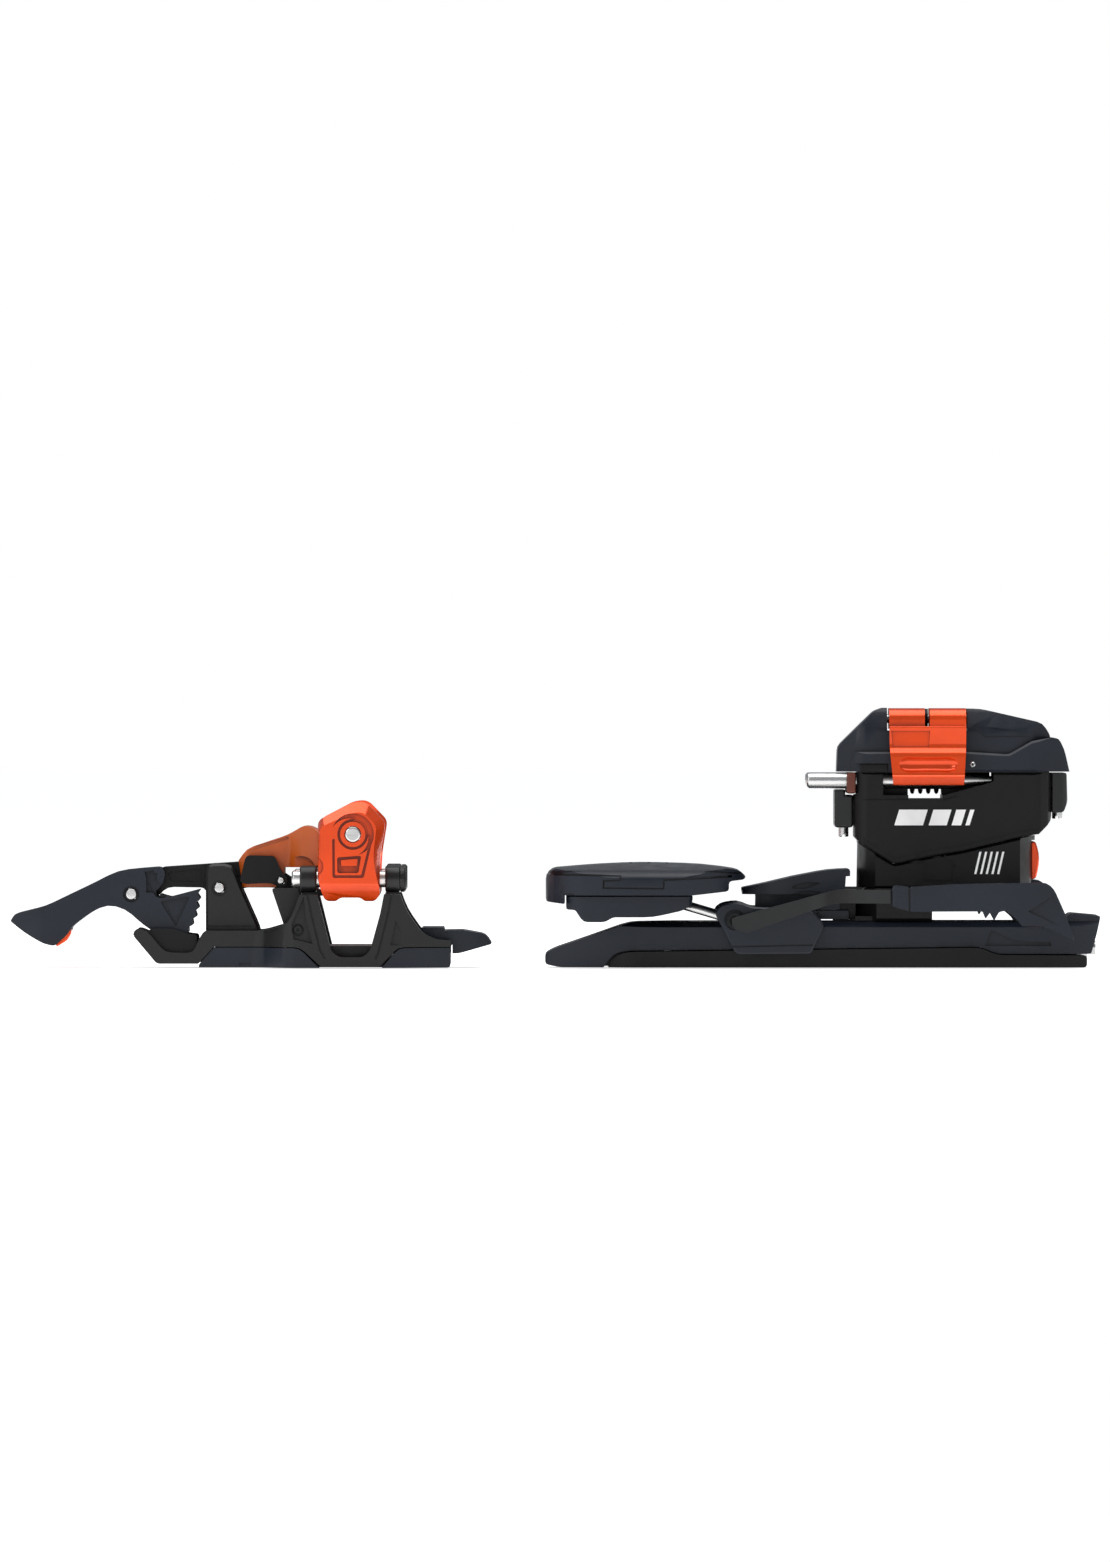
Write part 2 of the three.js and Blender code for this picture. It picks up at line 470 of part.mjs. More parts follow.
// The track's rails: a long ramp in front, a block at the back, a channel for the carriage.
function heelTrack() {
  const side = [
    [-132, 1, 1], [-127, 0, 1], [-112.6, 0], [-109.4, 4.6, 2], [-104.7, 5.6, 2], [12.5, 6.9, 2],
    [18, 4.5, 2], [49.4, 4.5, 0.6], [51.4, 11.5, 2], [52.6, 17.1, 0.8], [42.5, 18, 1], [39.8, 15.2, 1],
    [-89.3, 15.2, 2], [-103.7, 15, 3], [-110, 12.8, 2], [-120, 9.3, 3], [-129, 6.3, 2], [-132, 4.6, 1],
  ];
  const plan = mirroredPlan([[-133, 15, 3], [-118, 20, 8], [-100, TRACK_HALF, 6], [46, TRACK_HALF, 3],
    [53, 18, 2]]);
  const front = [
    [-23, -1], [23, -1], [23, 12.9], [17.6, 15.3], [17.6, 19], [-17.6, 19], [-17.6, 15.3], [-23, 12.9],
  ];
  const body = sidePlate(side, -TRACK_HALF, TRACK_HALF).intersect(topPlate(plan, -1, 20));
  const shaped = body.intersect(frontPlate(front, -134, 54));
  const channel = box(...CHANNEL, -CHANNEL_HALF, CHANNEL_HALF, 6.9, 20);
  const screwRoom = box(CHANNEL[0] - 2, 60, -2.6, 2.6, 0, 9);
  const pocket = topPlate([[-97, -14, 3], [-97, 14, 3], [-84, 14, 3], [-84, -14, 3]], 11.5, 20);
  const sides = [-1, 1].map((s) => sidePlate([[14, 7.2], [16, 12.6, 1], [24, 9, 2], [36, 8.4, 1],
    [36, 7.2]], s > 0 ? TRACK_HALF - 1 : -30, s > 0 ? 30 : 1 - TRACK_HALF));
  return cut(shaped, channel, screwRoom, pocket, ...sides, ...heelScrewBores());
}

function adjustScrew() {
  const profile = [[0, -45], [1.6, -45], [2, -44.4], [2, 49.7], [2.3, 49.7], [2.3, 51.4], [0, 51.4]];
  const slot = box(50.6, 52, -0.4, 0.4, ADJUST_SCREW_Z - 1.6, ADJUST_SCREW_Z + 1.6);
  return cut(turned(profile, X, [0, 0, ADJUST_SCREW_Z], 12), slot);
}

const CARRIAGE_TOP_Z = 26.2;

// The carriage: a sled in the track's channel, with a pedestal for the tower on top of it.
function carriage() {
  const sled = box(-36, 30, -CHANNEL_HALF + GAP, CHANNEL_HALF - GAP, 7.2, 15.6);
  const cover = box(-29, 30, -17, 17, 15.5, 17);
  const top = sidePlate([[-29, 15.5], [-29, 23, 2], [-25.6, CARRIAGE_TOP_Z, 1], [29.5, CARRIAGE_TOP_Z, 1],
    [31, 22, 2], [31, 15.5]], -19, 19, 0.8);
  const plan = topPlate(roundedDrumPlan(29, 32, 19), 10, 30);
  const gap = box(-3.4, 26, -30, 30, 15.4, 19.4);
  const screwBore = rod(2 + BORE_GAP + 0.1, -60, 60, X, [0, 0, ADJUST_SCREW_Z], 12);
  const keel = box(-36, 30, -3, 3, 5, 8);
  const nut = box(-20, 10, -2.3, 2.3, 4.4, 8);
  const body = join(sled, cover, top.intersect(plan));
  return cut(join(body, nut), gap, screwBore, cut(keel, nut));
}

// A drum's plan: round in front and behind, flat at its sides.
function roundedDrumPlan(frontRadius, backRadius, half) {
  const arc = (radius, way) => {
    const edge = Math.asin(half / radius);
    const points = [];
    for (let i = 0; i <= 6; i++) {
      const angle = edge * (1 - i / 3);
      points.push([way * radius * Math.cos(angle), way * radius * Math.sin(angle)]);
    }
    return points;
  };
  return [...arc(backRadius, 1), ...arc(frontRadius, -1)];
}

// Lower edge of the tower's housing, from front to back, and so the upper edge of its column.
const HOUSING_LOWER_EDGE = [
  [-29.2, 43.3], [-28, 42], [-25, 39.8], [-16, 34.4, 1], [-3.8, 37], [6.3, 38.7], [25.3, 43.2, 2],
  [31.4, 44.2],
];

function towerColumn() {
  const top = HOUSING_LOWER_EDGE.slice(1).map(([x, z, r]) => [x, z - GAP - 0.1, r]);
  const side = [[-28.3, CARRIAGE_TOP_Z + GAP], ...top, [29.4, CARRIAGE_TOP_Z + GAP]];
  const plan = topPlate(roundedDrumPlan(28.3, 31.2, 17.5), 20, 60);
  const body = sidePlate(side, -17.5, 17.5, 0.6).intersect(plan);
  const panel = [-1, 1].map((s) => sidePlate([[3.5, 28.5], [3.5, 36, 1], [-6, 34.6, 1], [-6, 28.5]],
    s > 0 ? 17 : -20, s > 0 ? 20 : -17));
  const indicatorRoom = box(29.2, 34, -8.4, 8.4, 28.6, 42.2);
  return cut(body, ...panel, indicatorRoom);
}

function rearIndicator() {
  const side = [[29.6, 29], [31.4, 29.4, 0.8], [32.4, 34, 3], [32.4, 38, 2], [31.2, 41.8, 0.8], [29.6, 41.8]];
  return sidePlate(side, -8, 8, 0.4);
}

const WINDOW = { x0: -19.7, x1: 17, z0: 57.2 }; // side window that shows the heel pins
const THROUGH = { x0: -11.3, x1: 0, z0: 56 }; // opening right through under the spring

function towerHousing() {
  const side = [
    ...HOUSING_LOWER_EDGE, [32, 44.2], [36.3, 48.6, 2], [36.3, CAP_SPLIT_Z - GAP],
    [-28.4, CAP_SPLIT_Z - GAP], [-28.4, 57.4], [-29.2, 57.2],
  ];
  const body = sidePlate(side, -TOWER_HALF, TOWER_HALF, 0.9);
  const plan = mirroredPlan([[-29.3, 16.5, 1], [-26.5, TOWER_HALF, 2], [33, TOWER_HALF, 3],
    [36.4, 15.5, 2]]);
  const cavity = box(-25.6, 24, -17, 17, WINDOW.z0, 70);
  const bench = box(-25.6, 24, -8.4, 8.4, WINDOW.z0 - 1, 59.1);
  const pinDoor = [-1, 1].map((s) => box(-30, -25, s > 0 ? 9.5 : -17.4, s > 0 ? 17.4 : -9.5, 59, 70));
  const windows = box(WINDOW.x0, WINDOW.x1, -25, 25, WINDOW.z0, 70);
  const through = box(THROUGH.x0, THROUGH.x1, -25, 25, THROUGH.z0, 64);
  const hollow = join(cut(cavity, bench), ...pinDoor, cut(windows, bench), through);
  const lowerBay = box(4, 30, -14, 14, 47, 56);
  const bayDoor = box(25, 40, -4, 4, 49, 55);
  return cut(body.intersect(topPlate(plan, 20, 80)), hollow, lowerBay, bayDoor);
}

// The cap: a narrower roof over a wider band, with a saddle for the climbing aids.
function towerCap() {
  const roof = [
    [-35, CAP_SPLIT_Z], [-34.7, 73.4, 1.5], [-22.6, 85.2, 1], [-19.7, TOWER_TOP_Z], [12.8, 85.9, 2],
    [33.4, 81.2, 2], [36, 77, 1], [36, CAP_SPLIT_Z],
  ];
  const band = [
    [-30, CAP_SPLIT_Z], [-30, 71.6, 1], [-18, 71.6], [8.4, 71.6], [22, 70.8, 1], [29.7, 75.2, 1],
    [36.4, 76.4], [38.7, 76, 1], [40.6, 72.4, 2], [42.3, CAP_SPLIT_Z],
  ];
  const roofPlan = mirroredPlan([[-36, 11, 2], [-26, 17.4, 4], [30, 17.4, 4], [37, 12, 2]]);
  const bandPlan = mirroredPlan([[-31, 17.8, 2], [-27, 19.9, 2], [36, 19.9, 4], [43, 15, 2]]);
  const roofFront = [
    [-17.4, 64], [17.4, 64], [17.4, 79, 1], [13.6, 86.4, 2], [-13.6, 86.4, 2], [-17.4, 79, 1],
  ];
  const top = sidePlate(roof, -17.4, 17.4).intersect(topPlate(roofPlan, 60, 90))
    .intersect(frontPlate(roofFront, -36, 44));
  const low = sidePlate(band, -19.9, 19.9, 0.7).intersect(topPlate(bandPlan, 60, 90));
  const saddle = box(-18.3, 8.3, -30, 30, 78.6, 90);
  const hollow = box(-25, 33, -14, 14, 60, 75.6);
  const axleBore = rod(1.5 + BORE_GAP, -40, 40, X, [0, 0, RISER_AXLE_Z], 12);
  return cut(join(top, low), saddle, hollow, axleBore.intersect(box(-22, 12, -5, 5, 76, 90)));
}

function frontPlateBody() {
  const side = [[-35.8, 46.4, 1], [-35.8, 59, 0.6], [-32.2, 59], [-32.2, 57.2], [-29.6, 57.2],
    [-29.6, 46.4, 1]];
  const bore = rod(1.9, 40, 52, Z, [-32.6, 0, 0], 12);
  return cut(sidePlate(side, -14.5, 14.5, 0.5), bore);
}

function releaseScrew(x, bottom) {
  const profile = [[0, bottom], [1.7, bottom], [1.7, bottom + 5], [0, bottom + 5]];
  const slot = box(x - 0.4, x + 0.4, -3, 3, bottom - 1, bottom + 0.9);
  return cut(turned(profile, Z, [x, 0, 0], 12), slot);
}

function rearPlate() {
  const side = [[36.7, 51.4], [36.7, 64.6], [41.4, 64.6, 0.6], [41.7, 55, 1], [40.4, 51.4, 1]];
  const plan = mirroredPlan([[36, 15, 0.5], [39.6, 15, 1], [42, 12.5, 1]]);
  const bore = rod(1.9, 45, 57, Z, [38.6, 0, 0], 12);
  return cut(sidePlate(side, -15, 15).intersect(topPlate(plan, 50, 66)), bore);
}

function pinGuide() {
  const slots = [-1, 1].map((s) => box(-33, -27, s > 0 ? 9.5 : -17.4, s > 0 ? 17.4 : -9.5, 59.2, 64.8));
  const front = [[-18.8, 57.7, 1], [18.8, 57.7, 1], [18.8, 64.7], [-18.8, 64.7]];
  return cut(frontPlate(front, -31.8, -28.8, 0.4), ...slots);
}

// A heel pin, measured from its own pivot at the back.
function heelPin() {
  const tip = -45.2 - HEEL_PIN_BACK;
  const taper = [[2, -7], [1.5, 2.8]];
  const profile = [[0, tip], [1.9, tip], [HEEL_PIN_R, tip + 0.8], [HEEL_PIN_R, -7.6], ...taper, [0, 2.8]];
  return turned(profile, X, [0, 0, 0], 20);
}

function releaseSpring() {
  const profile = [[0, -22], [1.8, -22], [1.8, -19.4], [2.8, -19.4], [2.8, 11], [1.8, 11], [1.8, 16],
    [0, 16]];
  return turned(profile, X, [0, 0, HEEL_PIN_Z + 0.3], 16);
}

// ---- Climbing aids, measured from their axle: each hangs from an arm over the near side ------

const RISER_HIGH_X = [-17.7, -5.9];
const RISER_LOW_X = [-4.3, 7.8];
const ARM_HALF = 3.5;

function riserArm([x0, x1]) {
  const shape = [[ARM_HALF, -1.6, 1.4], [ARM_HALF, 1.6, 1.4], [1.6, ARM_HALF, 1.4], [-19.4, ARM_HALF, 2.4],
    [-22.2, 1, 1.4], [-22.2, -3.4], [-20.3, -3.4], [-20.3, -1.4, 1], [-14, -2.6, 2], [1.6, -ARM_HALF, 1.4]];
  return frontPlate(shape, x0, x1, 0.5);
}

function riserHigh() {
  const curtain = [[-22.8, -2.6], [-24, -2.6, 0.4], [-24.3, -10.2, 1], [-25.8, -11.2, 0.6],
    [-24.6, -14.4, 1.5], [-25.2, -17, 1.5], [-27.2, -18, 0.6], [-27.2, -19.4, 0.8], [-24, -22.2, 1.5],
    [-22.8, -21.8, 0.6]];
  const wide = frontPlate(curtain, RISER_HIGH_X[0], RISER_LOW_X[1]);
  const web = box(RISER_HIGH_X[0] + 0.6, RISER_HIGH_X[1], -23, -20.4, -9, -2);
  const bore = rod(1.5 + BORE_GAP, -30, 30, X, [0, 0, 0], 12);
  return cut(join(riserArm(RISER_HIGH_X), web, wide), bore);
}

function riserLow() {
  const bore = rod(1.5 + BORE_GAP, -30, 30, X, [0, 0, 0], 12);
  return cut(riserArm(RISER_LOW_X), bore);
}

function riserAxle() {
  return rod(1.5, -21.4, 11.4, X, [0, 0, RISER_AXLE_Z]);
}

// ---- Ski brake --------------------------------------------------------------------------------

function brakeBracket() {
  const cheek = [
    [-76, 18.6, 2], [-73.6, 21, 1.5], [-68, 22, 2], [-63.7, 20.2, 1], [-44, 19.4, 2], [-39, 14.6, 2],
    [-42.2, 8.2, 2], [-43.7, 4.7, 1], [-68.7, 4.5, 1.5],
  ];
  const cheeks = [-1, 1].map((s) => sidePlate(cheek, s > 0 ? 24.4 : -27.6, s > 0 ? 27.6 : -24.4, 0.5));
  const bridge = box(-65, -42, -25, 25, 15.9, 18.8);
  const tongue = box(-43, -31, -12, 12, 15.9, 18.8);
  const bore = rod(1.5 + BORE_GAP, -40, 40, Y, [BRAKE_PIVOT.x, 0, BRAKE_PIVOT.z], 12);
  const dish = [-1, 1].map((s) => rod(2.7, 26.6, 30, s > 0 ? Y : Y.clone().negate(),
    [BRAKE_PIVOT.x, 0, BRAKE_PIVOT.z], 12));
  return cut(join(bridge, tongue, ...cheeks), bore, ...dish);
}

function brakeLatch() {
  const side = [
    [-66.4, 24.2], [-66.8, 26.4, 0.6], [-58.3, 28.1, 3], [-49.7, 30.2, 4], [-38, 32.4, 4],
    [-30.6, 32.7, 0.8], [-30.6, 30.3], [-32, 30.2], [-32.4, 24.2],
  ];
  const plan = mirroredPlan([[-67, 11, 3], [-56, 16, 6], [-30, 16, 1]]);
  const lens = [-1, 1].map((s) => sidePlate([[-51, 26.4, 2], [-46, 28.4, 2], [-39.6, 28, 2], [-46, 25.6, 3]],
    s > 0 ? 15 : -20, s > 0 ? 20 : -15));
  const foot = box(-62, -34, -11, 11, 19.1, 24.6);
  return join(cut(sidePlate(side, -16, 16).intersect(topPlate(plan, 20, 40)), ...lens), foot);
}

// Silver wire: an axle in each cheek, and a bar between them under the brake pad.
function brakeWire() {
  const half = [[-69, 30.4, 15.7], [-69, 24, 15.7], [-70, 21.6, 15.9], [-84.6, 19.6, 20.2],
    [-86, 17.6, 20.6]];
  const points = [...half, ...half.map(([x, y, z]) => [x, -y, z]).reverse()];
  const curve = new THREE.CatmullRomCurve3(points.map((p) => new THREE.Vector3(...p)), false, 'centripetal');
  const section = new THREE.Shape();
  section.absarc(0, 0, 1.5, 0, 2 * Math.PI);
  const options = { steps: 44, curveSegments: 5, bevelEnabled: false, extrudePath: curve };
  return solid(new THREE.ExtrudeGeometry(section, options));
}

function brakeArm(side) {
  const profile = [
    [-69.6, 12.9, 1.2], [-65.4, 11.6, 1], [-36, 21.6, 3], [-17.8, 21.6], [-17.8, 26], [-34.6, 26.2, 3],
    [-67, 17.4, 1.5], [-70.4, 16.6, 1.2],
  ];
  const plan = [[-71, 28.1], [-40, 28.1, 4], [-26, 42, 5], [-17, 45.4], [-17, 50], [-28, 47, 5],
    [-42, 32.4, 4], [-71, 32.4]].map(([x, y, r]) => [x, side * y, r]);
  const body = sidePlate(profile, ...(side > 0 ? [27, 51] : [-51, -27])).intersect(topPlate(plan, 5, 30));
  const bore = rod(1.5 + BORE_GAP, -31, 31, Y, [BRAKE_PIVOT.x, 0, BRAKE_PIVOT.z], 12);
  return cut(body, bore);
}

function brakePaddle(side) {
  const profile = [
    [-17.4, 20.7, 1], [-11, 18.9, 1], [-1, 18.9], [12.6, 19, 0.5], [13.6, 16.6, 0.3], [15, 18.6],
    [16.4, 16, 0.3], [18, 18.8, 0.5], [20.4, 19.3, 1], [24.4, 16, 1], [25.6, 14, 1], [32, 14.6, 3],
    [43.1, 9.4, 0.5],
    [40, 18, 1], [36.2, 26.4, 2], [33.8, 28.5, 2], [3, 28, 4], [-12, 27, 3], [-17.4, 28, 2],
  ];
  const plan = [[-17.4, 44.6, 1], [-17.4, 51, 1], [-8, 51.4, 4], [30, 52.4, 8], [44, 50, 2], [44, 46.4, 2],
    [30, 44, 8]].map(([x, y, r]) => [x, side * y, r]);
  const body = sidePlate(profile, ...(side > 0 ? [44, 53] : [-53, -44]));
  return body.intersect(topPlate(plan, 0, 40));
}

function brakePadTop() {
  const side = [
    [-131.8, 22, 1], [-131.8, 30.6, 2], [-129.6, 32.8, 2], [-114, 34.2, 6], [-100, 34.8, 6], [-80, 34.2, 6],
    [-67.6, 32.4, 2], [-65.2, 30.2, 1], [-66, 29.2, 0.6], [-71, 28.7, 1], [-71, 25.4, 1], [-83, 24.1],
    [-125.4, 24.1], [-125.4, 21.2, 0.6],
  ];
  const front = [[-38, 24], [-36.6, 18], [36.6, 18], [38, 24], [38, 30, 1], [35.4, 32.2, 2], [18, 35, 8],
    [-18, 35, 8], [-35.4, 32.2, 2], [-38, 30, 1]];
  const plan = mirroredPlan([[-132, 26, 6], [-126, 35, 6], [-112, 38, 10], [-80, 38, 12], [-68, 27, 8],
    [-64, 16, 6]]);
  const shell = sidePlate(side, -38, 38).intersect(frontPlate(front, -133, -64));
  const hollow = box(-122, -87, -30, 30, 20, 31);
  return cut(shell.intersect(topPlate(plan, 10, 40)), hollow);
}

function brakePadBottom() {
  const side = [
    [-125, 23.7], [-125, 19.4, 0.6], [-122, 19.2, 0.6], [-119.4, 15.2, 1.5], [-112, 15.2, 1.5],
    [-109.6, 16.8, 1],
    [-96.3, 16.8, 3], [-86, 19.1, 2], [-83.2, 21.2, 1], [-83, 23.7],
  ];
  const plan = mirroredPlan([[-126, 32, 4], [-112, 35.4, 8], [-84, 33, 6], [-82, 28, 2]]);
  const hingeRoom = box(-90.5, -79, -24.6, 24.6, 14, 22.9);
  return cut(sidePlate(side, -36, 36).intersect(topPlate(plan, 10, 40)), hingeRoom);
}

function brake() {
  const unit = new THREE.Group();
  part(unit, 'brake_bracket', 'navy_plastic', brakeBracket());
  part(unit, 'brake_latch', 'navy_plastic', brakeLatch());
  part(unit, 'brake_wire', 'steel', brakeWire());
  part(unit, 'brake_pad_top', 'navy_plastic', brakePadTop());
  part(unit, 'brake_pad_bottom', 'navy_plastic', brakePadBottom());
  for (const [name, side] of [['left', -1], ['right', 1]]) {
    part(unit, `brake_arm_${name}`, 'dark_steel', brakeArm(side));
    part(unit, `brake_paddle_${name}`, 'navy_plastic', brakePaddle(side));
  }
  return unit;
}

function tower() {
  const unit = new THREE.Group();
  part(unit, 'tower_column', 'black_plastic', towerColumn());
  part(unit, 'rear_indicator', 'orange_plastic', rearIndicator());
  part(unit, 'tower_housing', 'black_plastic', towerHousing());
  part(unit, 'tower_cap', 'navy_plastic', towerCap());
  part(unit, 'front_plate', 'dark_steel', frontPlateBody());
  part(unit, 'vertical_release_screw', 'steel', releaseScrew(-32.6, 43.2));
  part(unit, 'rear_plate', 'dark_steel', rearPlate());
  part(unit, 'lateral_release_screw', 'steel', releaseScrew(38.6, 49.2));
  part(unit, 'pin_guide', 'brown_bronze', pinGuide());
  part(unit, 'release_spring', 'steel', releaseSpring());
  part(unit, 'riser_axle', 'steel', riserAxle());
  part(unit, 'riser_high', 'orange_anodised', riserHigh()).position.z = RISER_AXLE_Z;
  part(unit, 'riser_low', 'orange_anodised', riserLow()).position.z = RISER_AXLE_Z;
  for (const [name, side] of [['left', -1], ['right', 1]]) {
    const pin = part(unit, `heel_pin_${name}`, 'steel', heelPin());
    pin.position.set(HEEL_PIN_BACK, side * HEEL_PIN_Y, HEEL_PIN_Z);
  }
  return unit;
}

function heelUnit() {
  const unit = new THREE.Group();
  unit.position.x = HEEL_X;
  part(unit, 'heel_base_plate', 'black_plastic', heelBasePlate());
  part(unit, 'heel_track', 'navy_plastic', heelTrack());
  part(unit, 'adjust_screw', 'steel', adjustScrew());
  HEEL_SCREWS.forEach(([x, y, seat], i) => {
    part(unit, `heel_screw_${i + 1}`, 'steel', mountingScrew(x, y, seat));
  });
  part(unit, 'carriage', 'black_plastic', carriage());
  unit.add(tower(), brake());
  return unit;
}

const binding = new THREE.Group();
binding.add(toeUnit(), heelUnit());
export default binding;
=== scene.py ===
"""Looks of a pin-type ski touring binding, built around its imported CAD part.

Shapes are given in millimetres: x from the toe pins' line or from the tower's turning axis, y from
the middle of the ski, and z from the ski's face. They are turned into the frame's metres as each
mesh is made. Materials, lights and the camera are in metres. Left is the near side, -Y.
"""

import json
import math

import bmesh
import bpy
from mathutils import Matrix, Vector

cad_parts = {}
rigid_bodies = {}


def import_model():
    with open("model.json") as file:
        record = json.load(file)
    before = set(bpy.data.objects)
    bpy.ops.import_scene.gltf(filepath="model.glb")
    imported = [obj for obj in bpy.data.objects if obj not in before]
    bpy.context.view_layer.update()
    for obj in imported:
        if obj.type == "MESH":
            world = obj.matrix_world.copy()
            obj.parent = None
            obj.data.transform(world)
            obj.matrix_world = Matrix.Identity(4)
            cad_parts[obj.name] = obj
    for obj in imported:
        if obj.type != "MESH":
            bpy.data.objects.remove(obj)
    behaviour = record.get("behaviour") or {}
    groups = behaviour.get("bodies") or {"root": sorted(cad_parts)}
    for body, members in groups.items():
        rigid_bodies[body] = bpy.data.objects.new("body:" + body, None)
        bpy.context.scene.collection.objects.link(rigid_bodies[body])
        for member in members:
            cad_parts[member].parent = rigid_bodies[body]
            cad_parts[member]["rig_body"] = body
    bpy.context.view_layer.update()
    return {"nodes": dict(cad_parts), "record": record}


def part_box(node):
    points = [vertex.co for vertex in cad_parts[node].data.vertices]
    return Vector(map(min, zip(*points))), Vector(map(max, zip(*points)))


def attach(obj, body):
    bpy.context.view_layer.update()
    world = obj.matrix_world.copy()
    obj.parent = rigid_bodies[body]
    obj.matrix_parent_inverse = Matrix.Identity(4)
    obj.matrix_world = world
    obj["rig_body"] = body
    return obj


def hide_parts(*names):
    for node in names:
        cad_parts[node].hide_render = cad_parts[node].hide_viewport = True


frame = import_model()

MM = 0.001  # metres in a millimetre


def middle(node):
    """Middle of a CAD node's box, in millimetres."""
    low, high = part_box(node)
    return (low + high) / 2 / MM


COLUMN_FRONT = 28.3  # the column's front, ahead of the axis that it turns on
TOE = middle("toe_pin_left")
TOE_X, TOE_PIN_Z = TOE.x, TOE.z
HEEL_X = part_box("tower_column")[0].x / MM + COLUMN_FRONT
RISER_AXLE_Z = middle("riser_axle").z
LEVER_PIN = middle("lever_pin")
ROCKER_PIN = middle("rocker_pin")
PLATE_PIN = middle("plate_pin")
TOWER_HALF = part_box("tower_housing")[1].y / MM
JAW_OUTER_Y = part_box("jaw_right")[1].y / MM
SHAFT = middle("jaw_shaft_right")
PAD_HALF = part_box("brake_pad_top")[1].y / MM
ARM_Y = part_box("rocker_arm")[1].y / MM
FRAME_HALF = 33.5  # half the width of the toe frame over its rails
LEVER_HALF = 13.5  # half the width of the toe lever beside its pin
COLUMN_HALF = 17.5  # half the width of the tower's column
SPRING_Z = 62.3  # height of the release spring's axis

X, Y, Z = Vector((1, 0, 0)), Vector((0, 1, 0)), Vector((0, 0, 1))
SIDES = (("left", -1), ("right", 1))


# ---- Materials -----------------------------------------------------------------------------------


def material(name, colour, rough, metal=0.0, **sockets):
    """A new node material with its shader's even values set, and the shader and its node tree."""
    made = bpy.data.materials.new(name)
    made.use_nodes = True
    tree = made.node_tree
    shader = tree.nodes["Principled BSDF"]
    shader.inputs["Base Color"].default_value = (*colour, 1)
    shader.inputs["Roughness"].default_value = rough
    shader.inputs["Metallic"].default_value = metal
    for socket, value in sockets.items():
        shader.inputs[socket.replace("_", " ")].default_value = value
    return made, tree, shader


def place(tree, stretch=(1, 1, 1)):
    """Object coordinates, stretched along each axis."""
    coordinates = tree.nodes.new("ShaderNodeTexCoord")
    mapping = tree.nodes.new("ShaderNodeMapping")
    mapping.inputs["Scale"].default_value = stretch
    tree.links.new(coordinates.outputs["Object"], mapping.inputs["Vector"])
    return mapping.outputs["Vector"]


def noise(tree, where, scale, detail=3.0):
    """A noise value; the scale is in lumps per metre."""
    node = tree.nodes.new("ShaderNodeTexNoise")
    node.inputs["Scale"].default_value = scale
    node.inputs["Detail"].default_value = detail
    tree.links.new(where, node.inputs["Vector"])
    return node.outputs["Fac"]


def spread(tree, value, low, high, start=0.3, end=0.7):
    """A value spread over another range."""
    node = tree.nodes.new("ShaderNodeMapRange")
    node.inputs["From Min"].default_value = start
    node.inputs["From Max"].default_value = end
    node.inputs["To Min"].default_value = low
    node.inputs["To Max"].default_value = high
    tree.links.new(value, node.inputs["Value"])
    return node.outputs["Result"]


def between(tree, value, first, second):
    """A colour between two, by a value from 0 to 1."""
    ramp = tree.nodes.new("ShaderNodeValToRGB")
    ramp.color_ramp.elements[0].color = (*first, 1)
    ramp.color_ramp.elements[1].color = (*second, 1)
    ramp.color_ramp.elements[0].position = 0.3
    ramp.color_ramp.elements[1].position = 0.7
    tree.links.new(value, ramp.inputs["Fac"])
    return ramp.outputs["Color"]


def bump(tree, shader, height, strength, distance):
    """Gives the shader small relief from a height value."""
    node = tree.nodes.new("ShaderNodeBump")
    node.inputs["Strength"].default_value = strength
    node.inputs["Distance"].default_value = distance
    tree.links.new(height, node.inputs["Height"])
    tree.links.new(node.outputs["Normal"], shader.inputs["Normal"])


def painted_recess_shade(tree, colour, deep=0.22, reach=0.0016):
    """A colour darkened in grooves and corners by ambient occlusion: painted shade where less light
    reaches.
    """
    hollow = tree.nodes.new("ShaderNodeAmbientOcclusion")
    hollow.samples = 8
    hollow.only_local = True
    hollow.inputs["Distance"].default_value = reach
    mixing = tree.nodes.new("ShaderNodeMix")
    mixing.data_type = "RGBA"
    mixing.blend_type = "MULTIPLY"
    mixing.inputs["Factor"].default_value = 1
    tree.links.new(colour, mixing.inputs["A"])
    tree.links.new(spread(tree, hollow.outputs["AO"], deep, 1, 0.35, 0.95), mixing.inputs["B"])
    return mixing.outputs["Result"]


def shade(colour, factor):
    """A colour made lighter or darker."""
    return tuple(min(1, c * factor) for c in colour)


def moulded(name, colour, rough, grain=0.18, **sockets):
    """Moulded plastic: a fine spark-eroded grain, clouded gloss, a faint drift of colour, and painted
    shade in its grooves and corners.
    """
    made, tree, shader = material(name, colour, rough, **sockets)
    where = place(tree)
    clouds = noise(tree, where, 45, 4)
    fine = noise(tree, where, 2600, 2)
    tone = between(tree, clouds, shade(colour, 0.84), shade(colour, 1.18))
    # the base colour gets painted shade: ambient occlusion darkens it in grooves and corners
    tree.links.new(painted_recess_shade(tree, tone), shader.inputs["Base Color"])
    gloss = spread(tree, noise(tree, where, 180, 3), rough - 0.07, rough + 0.08)
    tree.links.new(gloss, shader.inputs["Roughness"])
    bump(tree, shader, fine, grain, 0.00012)
    return made


